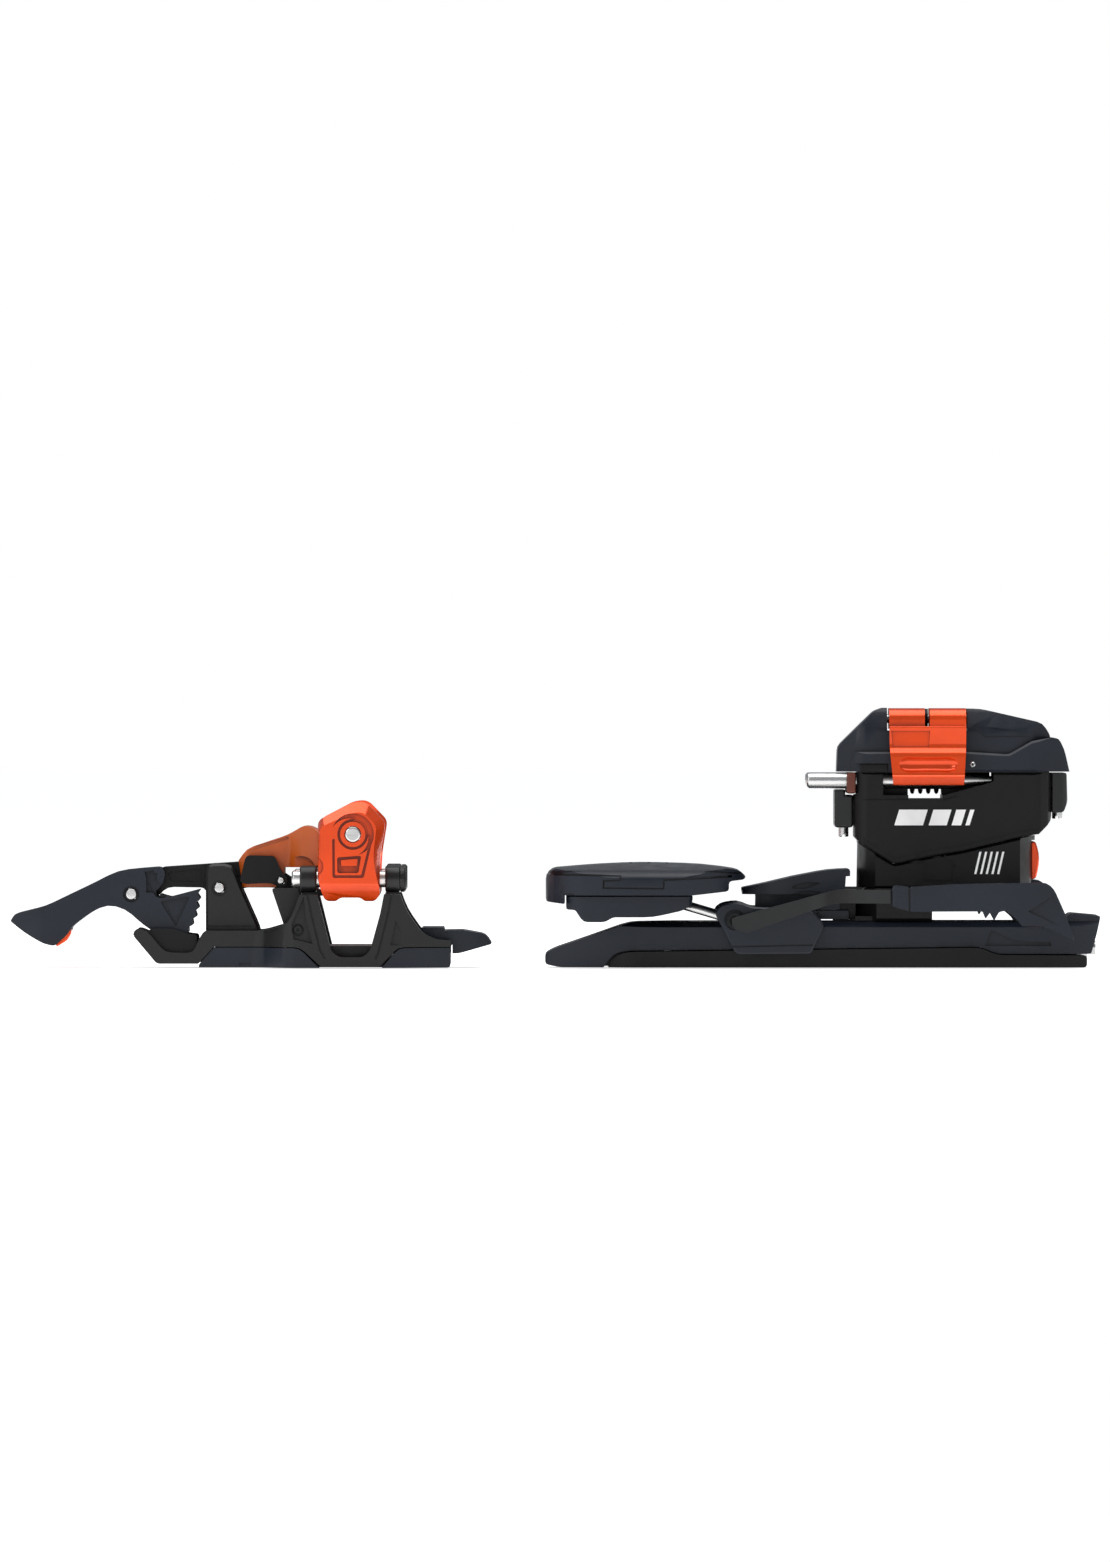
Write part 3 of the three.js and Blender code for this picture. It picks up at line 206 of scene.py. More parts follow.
def blasted(name, colour, rough, metal, grain=0.12, drift=0.05, **sockets):
    """Coated or anodised metal over a blasted surface: finer than plastic, with a silky sheen and painted
    shade in its grooves and corners.
    """
    made, tree, shader = material(name, colour, rough, metal, **sockets)
    where = place(tree)
    tone = between(tree, noise(tree, where, 60, 5), shade(colour, 0.9), shade(colour, 1.12))
    # the base colour gets painted shade: ambient occlusion darkens it in grooves and corners
    tree.links.new(painted_recess_shade(tree, tone, 0.2, 0.0026), shader.inputs["Base Color"])
    gloss = spread(tree, noise(tree, where, 420, 4), rough - drift, rough + drift)
    tree.links.new(gloss, shader.inputs["Roughness"])
    bump(tree, shader, noise(tree, where, 3200, 2), grain, 0.00006)
    return made


def machined(name, colour, rough, stretch, **sockets):
    """Turned or drawn steel: fine lines along the stretched axis and small changes of gloss."""
    made, tree, shader = material(name, colour, rough, 1.0, **sockets)
    where = place(tree, stretch)
    lines = noise(tree, where, 900, 2)
    tone = between(tree, lines, shade(colour, 0.86), shade(colour, 1.1))
    tree.links.new(tone, shader.inputs["Base Color"])
    tree.links.new(spread(tree, lines, rough - 0.06, rough + 0.1), shader.inputs["Roughness"])
    bump(tree, shader, lines, 0.12, 0.00004)
    return made


NAVY = (0.0078, 0.0108, 0.0175)
BLACK = (0.0036, 0.0036, 0.0039)
ALLOY = (0.0092, 0.0092, 0.0092)
GREY = (0.014, 0.0145, 0.015)
ORANGE = (0.74, 0.06, 0.003)
DARK_ORANGE = (0.44, 0.076, 0.003)
STEEL = (0.62, 0.62, 0.61)
BRONZE = (0.11, 0.028, 0.016)

FINISHES = {
    "navy_plastic": moulded("navy_moulded_plastic", NAVY, 0.36, 0.12, Specular_IOR_Level=0.3),
    "black_plastic": moulded("black_moulded_plastic", BLACK, 0.4, 0.14, Specular_IOR_Level=0.22),
    "black_alloy": blasted("black_anodised_alloy", ALLOY, 0.36, 0.2, 0.1, Specular_IOR_Level=0.4),
    "dark_steel": blasted("grey_coated_steel", GREY, 0.34, 0.3, 0.08, Specular_IOR_Level=0.4),
    "orange_anodised": blasted("orange_anodised_metal", ORANGE, 0.24, 0.55, 0.006, 0.012,
                               Coat_Weight=0.25, Coat_Roughness=0.08),
    "orange_plastic": moulded("orange_moulded_plastic", DARK_ORANGE, 0.38, 0.1),
    "steel": machined("turned_steel", STEEL, 0.27, (0.06, 1, 1)),
    "bronze": blasted("bronze_bearing_metal", BRONZE, 0.45, 0.4),
}
WHITE_INK = moulded("white_printed_ink", (0.8, 0.8, 0.8), 0.5, 0.05)


# ---- Mesh making: outlines in millimetres, solids joined and cut ---------------------------------

CAD_FINISH = {entry["node"]: entry["material_slot"] for entry in frame["record"]["subparts"]}


def rounded(points, steps=6):
    """An outline from [u, v] or [u, v, radius] points, whose corners are rounded by that radius."""
    ring = []
    for i, point in enumerate(points):
        corner = Vector(point[:2])
        before = Vector(points[i - 1][:2]) - corner
        after = Vector(points[(i + 1) % len(points)][:2]) - corner
        radius = point[2] if len(point) > 2 else 0
        reach = min(radius, 0.48 * before.length, 0.48 * after.length)
        if reach == 0:
            ring.append(corner)
            continue
        entry = corner + before.normalized() * reach
        leave = corner + after.normalized() * reach
        for k in range(steps + 1):
            t = k / steps
            ring.append(entry * (1 - t) ** 2 + corner * 2 * t * (1 - t) + leave * t * t)
    return ring


def mesh_object(name, vertices, faces):
    """A closed mesh facing outwards, its vertices in millimetres in the whole part's frame."""
    data = bpy.data.meshes.new(name)
    data.from_pydata([Vector(v) * MM for v in vertices], [], faces)
    work = bmesh.new()
    work.from_mesh(data)
    bmesh.ops.remove_doubles(work, verts=work.verts, dist=1e-7)
    bmesh.ops.recalc_face_normals(work, faces=work.faces)
    work.to_mesh(data)
    work.free()
    obj = bpy.data.objects.new(name, data)
    bpy.context.scene.collection.objects.link(obj)
    return obj


def lofted(name, rings):
    """A solid through rings of equal length, closed by its first and last ring."""
    count = len(rings[0])
    vertices = [v for ring in rings for v in ring]
    faces = [list(range(count)), [len(vertices) - count + k for k in range(count)]]
    for r in range(len(rings) - 1):
        for k in range(count):
            nxt = (k + 1) % count
            faces.append([r * count + k, r * count + nxt, (r + 1) * count + nxt, (r + 1) * count + k])
    return mesh_object(name, vertices, faces)


class Bench:
    """Makes solids whose x is measured from one line of the binding."""

    def __init__(self, x):
        self.x = x

    def side(self, points, y0, y1, steps=6):
        """Drawn from the side as [x, z], between two distances across the ski."""
        ring = rounded(points, steps)
        return lofted("side", [[(self.x + u, y, v) for u, v in ring] for y in (y0, y1)])

    def front(self, points, x0, x1, steps=6):
        """Drawn from the front as [y, z], between two distances along the ski."""
        ring = rounded(points, steps)
        return lofted("front", [[(self.x + x, u, v) for u, v in ring] for x in (x0, x1)])

    def top(self, points, z0, z1, steps=6):
        """Drawn from above as [x, y], between two heights."""
        ring = rounded(points, steps)
        return lofted("top", [[(self.x + u, v, z) for u, v in ring] for z in (z0, z1)])

    def layers(self, rings):
        """Drawn from the side at several distances across the ski, as (points, y)."""
        return lofted("layers", [[(self.x + u, y, v) for u, v in rounded(points)] for points, y in rings])

    def block(self, x0, x1, y0, y1, z0, z1):
        """A plain box between two distances each way."""
        return self.side([[x0, z0], [x1, z0], [x1, z1], [x0, z1]], y0, y1)

    def turned(self, profile, axis, centre, sides=32):
        """A lathe solid: profile points [radius, distance along the axis], from the [x, y, z] centre."""
        turn = Z.rotation_difference(axis)
        middle_point = Vector((self.x + centre[0], centre[1], centre[2]))
        rings = []
        for radius, along in profile:
            angles = [2 * math.pi * k / sides for k in range(sides)]
            flat = [Vector((radius * math.cos(a), radius * math.sin(a), along)) for a in angles]
            rings.append([middle_point + turn @ v for v in flat])
        return lofted("turned", rings)

    def rod(self, radius, start, end, axis, centre, sides=32):
        """A plain cylinder between two distances along an axis through the centre."""
        return self.turned([[radius, start], [radius, end]], axis, centre, sides)


toe = Bench(TOE_X)
heel = Bench(HEEL_X)


def mirrored(half):
    """The same outline on both sides of the middle line, as one closed plan."""
    return [*half, *[[p[0], -p[1], *p[2:]] for p in reversed(half)]]


def combine(body, others, operation):
    """Joins, cuts or intersects a body with others, which are used up."""
    for other in others:
        step = body.modifiers.new("combine", "BOOLEAN")
        step.operation = operation
        step.solver = "EXACT"
        step.object = other
        evaluated = body.evaluated_get(bpy.context.evaluated_depsgraph_get())
        result = bpy.data.meshes.new_from_object(evaluated)
        body.modifiers.clear()
        body.data = result
        bpy.data.objects.remove(other)
    return body


def cut(body, *others):
    """The body less the others."""
    return combine(body, others, "DIFFERENCE")


def join(body, *others):
    """The body and the others as one solid."""
    return combine(body, others, "UNION")


def meet(body, *others):
    """What the body shares with each of the others."""
    return combine(body, others, "INTERSECT")


def both(make):
    """The same cutter or addition on either side of the middle line."""
    return [make(side) for side in (-1, 1)]


def strip(points, width):
    """A narrow band along a polyline of [u, v] points, as an outline."""
    left, right = [], []
    for k, point in enumerate(points):
        here = Vector(point)
        before = Vector(points[max(k - 1, 0)])
        after = Vector(points[min(k + 1, len(points) - 1)])
        along = ((here - before).normalized() + (after - here).normalized()).normalized()
        across = Vector((-along.y, along.x)) * width / 2
        left.append(list(here + across))
        right.append(list(here - across))
    return left + right[::-1]


def groove(bench, points, width, core):
    """A seam cut round a moulding: a band right across it, less its core."""
    return cut(bench.side(strip(points, width), -60, 60, 1), core())


def soften(obj, width=0.3, angle=38, segments=2):
    """Rounds the sharp edges of a mesh, and shades it as a moulded or machined surface."""
    weld = obj.modifiers.new("weld", "WELD")
    weld.merge_threshold = 0.01 * MM
    flat = obj.modifiers.new("flat", "DECIMATE")
    flat.decimate_type = "DISSOLVE"
    flat.angle_limit = math.radians(1.5)
    bevel = obj.modifiers.new("bevel", "BEVEL")
    bevel.width = width * MM
    bevel.segments = segments
    bevel.limit_method = "ANGLE"
    bevel.angle_limit = math.radians(angle)
    bevel.miter_outer = "MITER_ARC"
    for polygon in obj.data.polygons:
        polygon.use_smooth = True
    normals = obj.modifiers.new("normals", "WEIGHTED_NORMAL")
    normals.keep_sharp = True


def paint(obj, finish):
    """Gives a piece one finish in place of any that it has."""
    obj.data.materials.clear()
    obj.data.materials.append(FINISHES[finish])


def body_of_node(node):
    """The moving body that a CAD node belongs to."""
    return frame["nodes"][node]["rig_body"]


def finished(obj, name, node, soft=0.3, finish=None, stands_for=True):
    """Names and paints a piece, rounds its edges, and lets it ride with a CAD node that it stands for."""
    obj.name = obj.data.name = name
    finish = finish or CAD_FINISH[node]
    paint(obj, finish)
    if soft:
        soften(obj, soft)
    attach(obj, body_of_node(node))
    if stands_for:
        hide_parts(node)
    return obj


def carved(name, node, *cutters, extra=(), soft=0.3, finish=None):
    """A copy of a CAD node with its moulded detail cut in and added, which stands for that node."""
    source = frame["nodes"][node]
    copy = bpy.data.objects.new(name, source.data.copy())
    bpy.context.scene.collection.objects.link(copy)
    work = bmesh.new()
    work.from_mesh(copy.data)
    bmesh.ops.remove_doubles(work, verts=work.verts, dist=2e-6)
    work.to_mesh(copy.data)
    work.free()
    cut(copy, *cutters)
    join(copy, *extra)
    return finished(copy, name, node, soft, finish)


def coil(name, node, axis, radius, wire, turns, finish=None, flat_ends=0.6):
    """A coil spring in the place of a CAD spring, wound along its axis."""
    low, high = (Vector(v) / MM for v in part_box(node))
    centre = (low + high) / 2
    length = abs((high - low).dot(axis)) - 2 * wire
    turn = Z.rotation_difference(axis)
    steps = int(turns * 20)
    curve = bpy.data.curves.new(name, "CURVE")
    curve.dimensions = "3D"
    curve.bevel_depth = wire * MM
    curve.bevel_resolution = 3
    curve.use_fill_caps = True
    spline = curve.splines.new("POLY")
    spline.points.add(steps)
    for k in range(steps + 1):
        wound = turns * k / steps
        closing = min(1, max(0, (wound - flat_ends) / (turns - 2 * flat_ends)))
        angle = 2 * math.pi * wound
        point = Vector((radius * math.cos(angle), radius * math.sin(angle), length * (closing - 0.5)))
        spline.points[k].co = (*((centre + turn @ point) * MM), 1)
    obj = bpy.data.objects.new(name, curve)
    bpy.context.scene.collection.objects.link(obj)
    mesh = bpy.data.meshes.new_from_object(obj)
    bpy.data.objects.remove(obj)
    made = bpy.data.objects.new(name, mesh)
    bpy.context.scene.collection.objects.link(made)
    for polygon in mesh.polygons:
        polygon.use_smooth = True
    return finished(made, name, node, 0, finish)


def hex_screw(name, bench, centre, axis, radius, depth, node, finish="steel"):
    """A small socket-head screw, turned with a chamfer, with a six-sided recess."""
    profile = [[radius, 0], [radius, depth - 0.3], [radius - 0.3, depth]]
    head = bench.turned(profile, axis, centre, 24)
    socket = bench.turned([[radius * 0.55, depth * 0.4], [radius * 0.55, depth + 1]], axis, centre, 6)
    return finished(cut(head, socket), name, node, 0, finish, stands_for=False)


# ---- Toe unit ------------------------------------------------------------------------------------

JAW_TOP = [[-11.6, 4.6, 2], [-0.2, 10.6, 3], [4.2, 10.8, 3], [10.8, 4, 2]]
JAW_CREASE = [[-10.9, 2.4, 2], [0.2, 7.2, 3], [3.4, 7.3, 3], [7.9, 2.8, 2]]
JAW_FOOT = [[8.9, -7.7, 4], [8.9, -17.4, 1], [8.9, -19.8, 1], [7.4, -22.2, 1.5], [3.9, -22.2, 0.6],
            [2.4, -21, 1], [-4.1, -21, 1], [-5.7, -22.2, 0.6], [-9.2, -22.2, 2], [-10.8, -18, 2],
            [-11.6, -15, 2]]
JAW_FOOT_OUTER = [[6.6, -8.4, 4], [8.6, -17.4, 1], [8.6, -19.8, 1], [7.2, -22.2, 1.5], [3.9, -22.2, 0.6],
                  [2.4, -21, 1], [-4.1, -21, 1], [-5.7, -22.2, 0.6], [-9, -22.2, 2], [-10.6, -18, 2],
                  [-11.4, -15, 2]]


def from_pin(points):
    """Points measured from the toe pin, as points above the ski."""
    return [[p[0], TOE_PIN_Z + p[1], *p[2:]] for p in points]


def jaw(name, side):
    """A forged jaw: creased crown, ringed pin seat, framed window, and an undercut foot."""
    full, face = from_pin(JAW_TOP + JAW_FOOT), from_pin(JAW_CREASE + JAW_FOOT_OUTER)
    body = toe.layers([(full, side * 9), (full, side * 40.6), (face, side * JAW_OUTER_Y)])
    front = [[36.5, 56, 1], [45, 56], [45, 28.8, 2], [41, 25.6, 3], [36, 22, 2], [26, 22, 2],
             [22.5, 26.2, 1], [9.6, 26.2, 0.6], [9.6, 31, 0.6], [23, 32.5, 2], [32, 37.5, 3], [33, 50, 2]]
    plan = [[-11.8, 24], [-11.8, 43, 1.5], [-10.4, 44.4, 1], [9, 44.4, 1], [11, 40, 1], [11, 24],
            [8, 20, 2], [8, 9], [-8, 9], [-8, 20, 2]]
    meet(body, toe.front([[side * y, z, *r] for y, z, *r in front], -12, 12),
         toe.top([[x, side * y, *r] for x, y, *r in plan], 20, 60))
    out = side * (JAW_OUTER_Y + 2)
    pin = [0, 0, TOE_PIN_Z]
    ring = cut(toe.rod(5.1, side * 42.7, out, Y, pin), toe.rod(4.2, side * 42, side * 47, Y, pin))
    moon = cut(toe.rod(7, side * 42.8, out, Y, pin),
               toe.rod(6.4, side * 42, side * 47, Y, [-1.2, 0, TOE_PIN_Z - 1.1]))
    frame_out = from_pin([[-6.8, -1.5, 0.6], [-6.7, -14.4, 0.8], [3.6, -14.4, 0.8], [6.6, -1.5, 0.6]])
    frame_in = from_pin([[-6, 0], [-5.9, -13.5, 0.6], [2.8, -13.5, 0.6], [6.2, 0]])
    framing = cut(toe.side(frame_out, side * 42.9, out), toe.side(frame_in, side * 42, side * 47),
                  toe.rod(4.6, side * 42, side * 47, Y, pin))
    window = cut(
        toe.side(from_pin([[-5.2, -7.6, 0.8], [2.8, -7, 0.8], [1.9, -12.8, 0.8], [-5.1, -12.8, 0.8]]),
                 side * 41.9, out),
        toe.side(from_pin([[-4, -8.5, 0.5], [1.7, -8.1, 0.5], [1.4, -10.4, 0.4], [-3.8, -10.5, 0.4]]),
                 side * 41, side * 43.4))
    scallop = toe.rod(3.4, side * 42.9, out, Y, [-13.1, 0, TOE_PIN_Z - 10.6])
    bores = [toe.rod(2.8, -50, 50, Y, pin), toe.rod(2.95, -20, 20, X, [0, side * SHAFT.y, SHAFT.z])]
    cut(body, ring, moon, framing, window, scallop, *bores)
    return finished(body, f"jaw_forging_{name}", f"jaw_{name}", 0.35)


def toe_frame():
    """Forged frame: a flange round the U, sunk facets beside it, seats round the screws and pivot."""
    flange = [[[-15.2, 25], [-14.2, 19.6], [-11, 6.2], [-9.4, 3.2]],
              [[12.8, 25], [11.6, 18], [8.3, 5.2], [7.4, 3]]]
    front_facet = [[-16.4, 23.8], [-20.4, 14.4], [-19.8, 9.6], [-13.4, 8], [-15.6, 16]]
    rear_facet = [[14.1, 15.8, 0.4], [12.3, 7.6, 0.4], [18, 7.6, 0.4]]
    collar = [[[-18, 24.5], [-11, 24.5]], [[10, 24.5], [16, 24.5]]]
    cutters = []
    for side in (-1, 1):
        out = side * (FRAME_HALF + 2)
        cutters += [toe.side(strip(line, 0.7), side * (FRAME_HALF - 0.7), out, 1) for line in flange]
        cutters += [toe.side(strip(line, 0.5), side * (FRAME_HALF - 0.6), out, 1) for line in collar]
        cutters += [
            toe.side(front_facet, side * (FRAME_HALF - 1.5), out),
            toe.side(rear_facet, side * (FRAME_HALF - 1.3), out),
            toe.rod(2.1, side * (FRAME_HALF - 2.4), out, Y, [-18.3, 0, 12.7]),
            toe.rod(2.6, side * 13.2, side * 17, Y, [ROCKER_PIN.x - TOE_X, 0, ROCKER_PIN.z]),
            toe.side(strip([[-49, 13.6], [-34, 13.6]], 0.5), side * 13.5, side * 15, 1),
        ]
    carved("toe_frame_forging", "toe_frame", *cutters, soft=0.5)
    liner = [[-63.4, 3.3], [-69.4, 11.2, 1], [-67.4, 12.9, 1.5], [-60, 12.8, 2], [-55.6, 11.2, 1.5],
             [-51.9, 10.8, 1], [-51.9, 3.3]]
    for name, side in SIDES:
        hex_screw(f"post_screw_{name}", toe, [-18.3, side * 31.1, 12.7], Y * side, 1.5, 1.6, "toe_frame",
                  "dark_steel")
        finished(toe.side(liner, side * 15.75, side * 17.5), f"cup_liner_{name}", "toe_frame", 0.3,
                 "black_plastic", False)


def toe_base():
    """Base pad with notched edges, and the crampon receiver with a ring cut in its top."""
    notches = [toe.block(x, x + 4, side * 19, side * 21, -1, 1.5)
               for x in (-38, -27.6) for side in (-1, 1)]
    carved("toe_base_moulding", "toe_base_pad", *notches)
    ring = cut(toe.rod(4.6, 11.6, 16, Z, [34.4, 0, 0]), toe.rod(3.9, 11, 17, Z, [34.4, 0, 0]))
    carved("crampon_slot_moulding", "crampon_receiver", ring)


def rocker():
    """Rocker with sunk side panels, the arched and creased centre plate, and the two covers."""
    panel = [[-62.2, 31.6, 1], [-50.6, 32.6, 0.6], [-50.6, 28.2, 0.8], [-60.8, 28.4, 1]]
    carved("rocker_moulding", "rocker_arm",
           *both(lambda side: toe.side(panel, side * (ARM_Y - 3.6), side * (ARM_Y + 1))))
    arches = both(lambda side: toe.rod(4.8, side * 14.5, side * 22, Y, [-17.4, 0, 32.2]))
    crease = [[-36, 38.2], [-27, 41], [-21.6, 42.6], [-21.8, 43.4], [-36, 39.4]]
    creases = both(lambda side: toe.side(crease, side * 11.9, side * 14))
    carved("centre_plate_moulding", "centre_plate", *arches, *creases, soft=0.7)
    for name, side in SIDES:
        seat = toe.rod(2.1, side * 15.2, side * 17, Y, [PLATE_PIN.x - TOE_X, 0, PLATE_PIN.z])
        carved(f"rocker_cover_moulding_{name}", f"rocker_cover_{name}", seat, soft=0.6,
               finish="black_plastic")


def lever():
    """Moulded lever: seats round its pin, a claw slot, a stepped triangle and a hollowed thumb rest."""
    def from_lever_pin(points):
        """Points measured from the lever's pin, as points from the toe pins' line and the ski."""
        return [[LEVER_PIN.x - TOE_X + p[0], LEVER_PIN.z + p[1], *p[2:]] for p in points]

    pin = [LEVER_PIN.x - TOE_X, 0, LEVER_PIN.z]
    claw = from_lever_pin([[4.4, 7.4], [7.4, 8], [8.4, 4.6, 1], [10.4, 2.8, 1.5], [12.6, 0.4, 1],
                           [11, -1.4, 0.6], [8.4, -1.2, 1], [6.8, 1.2, 1.5], [5.2, 4.2, 1]])
    triangle = from_lever_pin([[9.6, -2.4, 1], [19.6, -0.7, 1.4], [14.9, -10.8, 1]])
    peep = from_lever_pin([[8.2, 1.4], [9.6, 1.2], [9.4, -0.8], [8.4, -0.6]])
    cutters = [toe.side(peep, -20, 20)]
    for side in (-1, 1):
        cutters += [toe.rod(2.75, side * 12.6, side * 16, Y, pin),
                    toe.side(claw, side * (LEVER_HALF - 2), side * 16),
                    toe.side(triangle, side * (LEVER_HALF - 0.45), side * 16)]
    rest = toe.turned([[0.5, -9], [1.6, -8.2], [2.2, 0], [1.6, 8.2], [0.5, 9]], Y,
                      [pin[0] - 30.5, 0, pin[2] - 2.9])
    carved("lever_moulding", "toe_lever", *cutters, rest, soft=0.75)


def shaft_caps():
    """Dark caps over the rear ends of the jaws' shafts."""
    for name, side in SIDES:
        cap = toe.turned([[4.3, 15.65], [4.3, 16.9], [3.7, 17.5]], X, [0, side * SHAFT.y, SHAFT.z], 28)
        dimple = toe.turned([[1.6, 16.8], [1.6, 18]], X, [0, side * SHAFT.y, SHAFT.z], 6)
        cut(cap, toe.rod(3.6, 15, 17.05, X, [0, side * SHAFT.y, SHAFT.z]), dimple)
        finished(cap, f"shaft_cap_{name}", f"jaw_shaft_{name}", 0, "black_alloy", False)


# ---- Heel unit -----------------------------------------------------------------------------------

RISER_ARM = [[3.5, -1.6, 1.4], [3.5, 1.6, 1.4], [1.6, 3.5, 1.4], [-19.4, 3.5, 2.4], [-22.3, 1, 1.4],
             [-22.3, -3.4], [-20.3, -3.4], [-20.3, -1.4, 1], [-14, -2.6, 2], [1.6, -3.5, 1.4]]
HOUSING_EDGE = [[-29.2, 43.3], [-25, 39.8], [-16, 34.4], [-3.8, 37], [6.3, 38.7], [25.3, 43.2],
                [32, 44.2]]


def from_axle(points):
    """Points measured from the climbing aids' axle, as points above the ski."""
    return [[y, RISER_AXLE_Z + z, *r] for y, z, *r in points]


def riser_high():
    """The higher climbing aid: an arm over the cap, and a curtain with a ridge, a scoop and a lip."""
    axle = RISER_AXLE_Z
    curtain = [[-22.7, -2.5], [-24.1, -2.5, 0.5], [-23.9, -9.6, 2], [-26, -11.4, 1.2],
               [-26.2, -18.6, 0.8], [-27, -19.4, 0.8], [-24.2, -22.2, 1.4], [-22.7, -21.8, 0.6]]
    body = heel.front(from_axle(RISER_ARM), -17.7, -5.9)
    web = heel.block(-17.1, -5.9, -22.9, -20.5, axle - 9, axle - 2)
    face = [[-17.7, axle + 4], [-17.7, axle - 9, 4], [-16.3, axle - 23], [7, axle - 23],
            [7.8, axle - 9, 4], [7.8, axle + 4]]
    plate = meet(heel.front(from_axle(curtain), -17.7, 7.8), heel.side(face, -30, -15))
    hollow = [[1.2, -14.6], [2.3, -13.6], [2.9, -11.6], [2.7, -4.8], [2.9, 2], [2.3, 4], [1.2, 5]]
    scoop = heel.turned(hollow, X, [0, -27.4, axle - 15.2])
    fold = heel.side([[-17.1, axle - 4], [-4.2, axle - 4], [-4.6, axle - 9.4], [-16.6, axle - 9.4]],
                     -23.6, -26)
    cut(plate, scoop, fold)
    join(body, web, plate)
    cut(body, heel.rod(1.65, -20, 12, X, [0, 0, axle]))
    finished(body, "riser_high_casting", "riser_high", 0.4)


def riser_low():
    """The lower climbing aid: a plain arm with a shallow groove across its top."""
    body = heel.front(from_axle(RISER_ARM), -4.3, 7.8)
    dent = heel.turned([[0.4, -4.6], [1.2, -4], [1.2, 4], [0.4, 4.6]], X,
                       [1.75, -10, RISER_AXLE_Z + 4.1])
    cut(body, dent, heel.rod(1.65, -20, 12, X, [0, 0, RISER_AXLE_Z]))
    finished(body, "riser_low_casting", "riser_low", 0.4)


def brake_pad():
    """Brake pad: the crowned tread shell with its stepped seam, and the tray under it."""
    seam = [[-133, 31.2], [-107, 30.6], [-107.1, 29.1], [-112.5, 29], [-112.6, 26.6], [-92.8, 26.4],
            [-92.6, 29.2], [-70, 30.4]]
    inset = 0.9
    core_plan = [[-132 + inset, 26, 6], [-126 + inset, 35 - inset, 6], [-112, PAD_HALF - inset, 10],
                 [-80, PAD_HALF - inset, 12], [-68 - inset, 27 - inset, 8], [-64 - inset, 16, 6]]

    def core():
        """What the seams leave whole inside the shell."""
        return heel.top(mirrored(core_plan), 10, 40)

    clip = [[-127, 24.8, 0.5], [-122.6, 24.8, 0.5], [-121.6, 22.6], [-127, 22.6]]
    notches = both(lambda side: heel.side(clip, side * 33, side * 39))
    treads = [heel.block(x, x + 1.1, -15, 15, 34.3, 36) for x in range(-116, -82, 6)]
    edge = [[-133, 32], [-128, 31.8], [-112, 32.6], [-84, 32.6], [-66, 31.2]]
    joint = [[-105, 33.4], [-105, 30.8]]
    grooves = [groove(heel, line, width, core)
               for line, width in ((seam, 0.8), (edge, 0.5), (joint, 0.6))]
    carved("brake_pad_tread", "brake_pad_top", *grooves, *notches, *treads, soft=0.5)
    carved("brake_pad_tray", "brake_pad_bottom", soft=0.5)


def brake_parts():
    """Brake paddles and arms with their pivots' plugs, and the bracket and latch that hold them."""
    for name, side in SIDES:
        ring = cut(heel.block(-11.9, -11.3, side * 40, side * 56, 10, 30),
                   heel.block(-13, -10, side * 45.2, side * 50.6, 19.6, 26.8))
        rib = heel.side([[27.6, 19, 0.5], [36, 24.4, 0.5], [39.6, 13.4, 0.5]], side * 51.1, side * 54)
        carved(f"paddle_moulding_{name}", f"brake_paddle_{name}", ring, rib, soft=0.7)
        carved(f"brake_arm_forging_{name}", f"brake_arm_{name}", soft=0.9)
        plug = heel.rod(2.4, side * 30.45, side * 32, Y, [-69.1, 0, 15.7])
        finished(cut(plug, heel.rod(1.7, side * 30.9, side * 33, Y, [-69.1, 0, 15.7])),
                 f"pivot_plug_{name}", f"brake_arm_{name}", 0, "black_plastic", False)
    dishes = both(lambda side: heel.rod(3.4, side * 26.4, side * 29, Y, [-69.1, 0, 15.9]))
    crease = strip([[-72, 7], [-43, 7.6]], 0.5)
    creases = both(lambda side: heel.side(crease, side * 27.1, side * 29, 1))
    carved("brake_bracket_moulding", "brake_bracket", *dishes, *creases, soft=0.6)
    lens = [[-51.4, 23.6], [-46, 25.6, 2], [-40, 25, 0.6], [-45, 22.6, 2]]
    carved("brake_latch_moulding", "brake_latch",
           *both(lambda side: heel.side(lens, side * 15.2, side * 17)), soft=0.6)


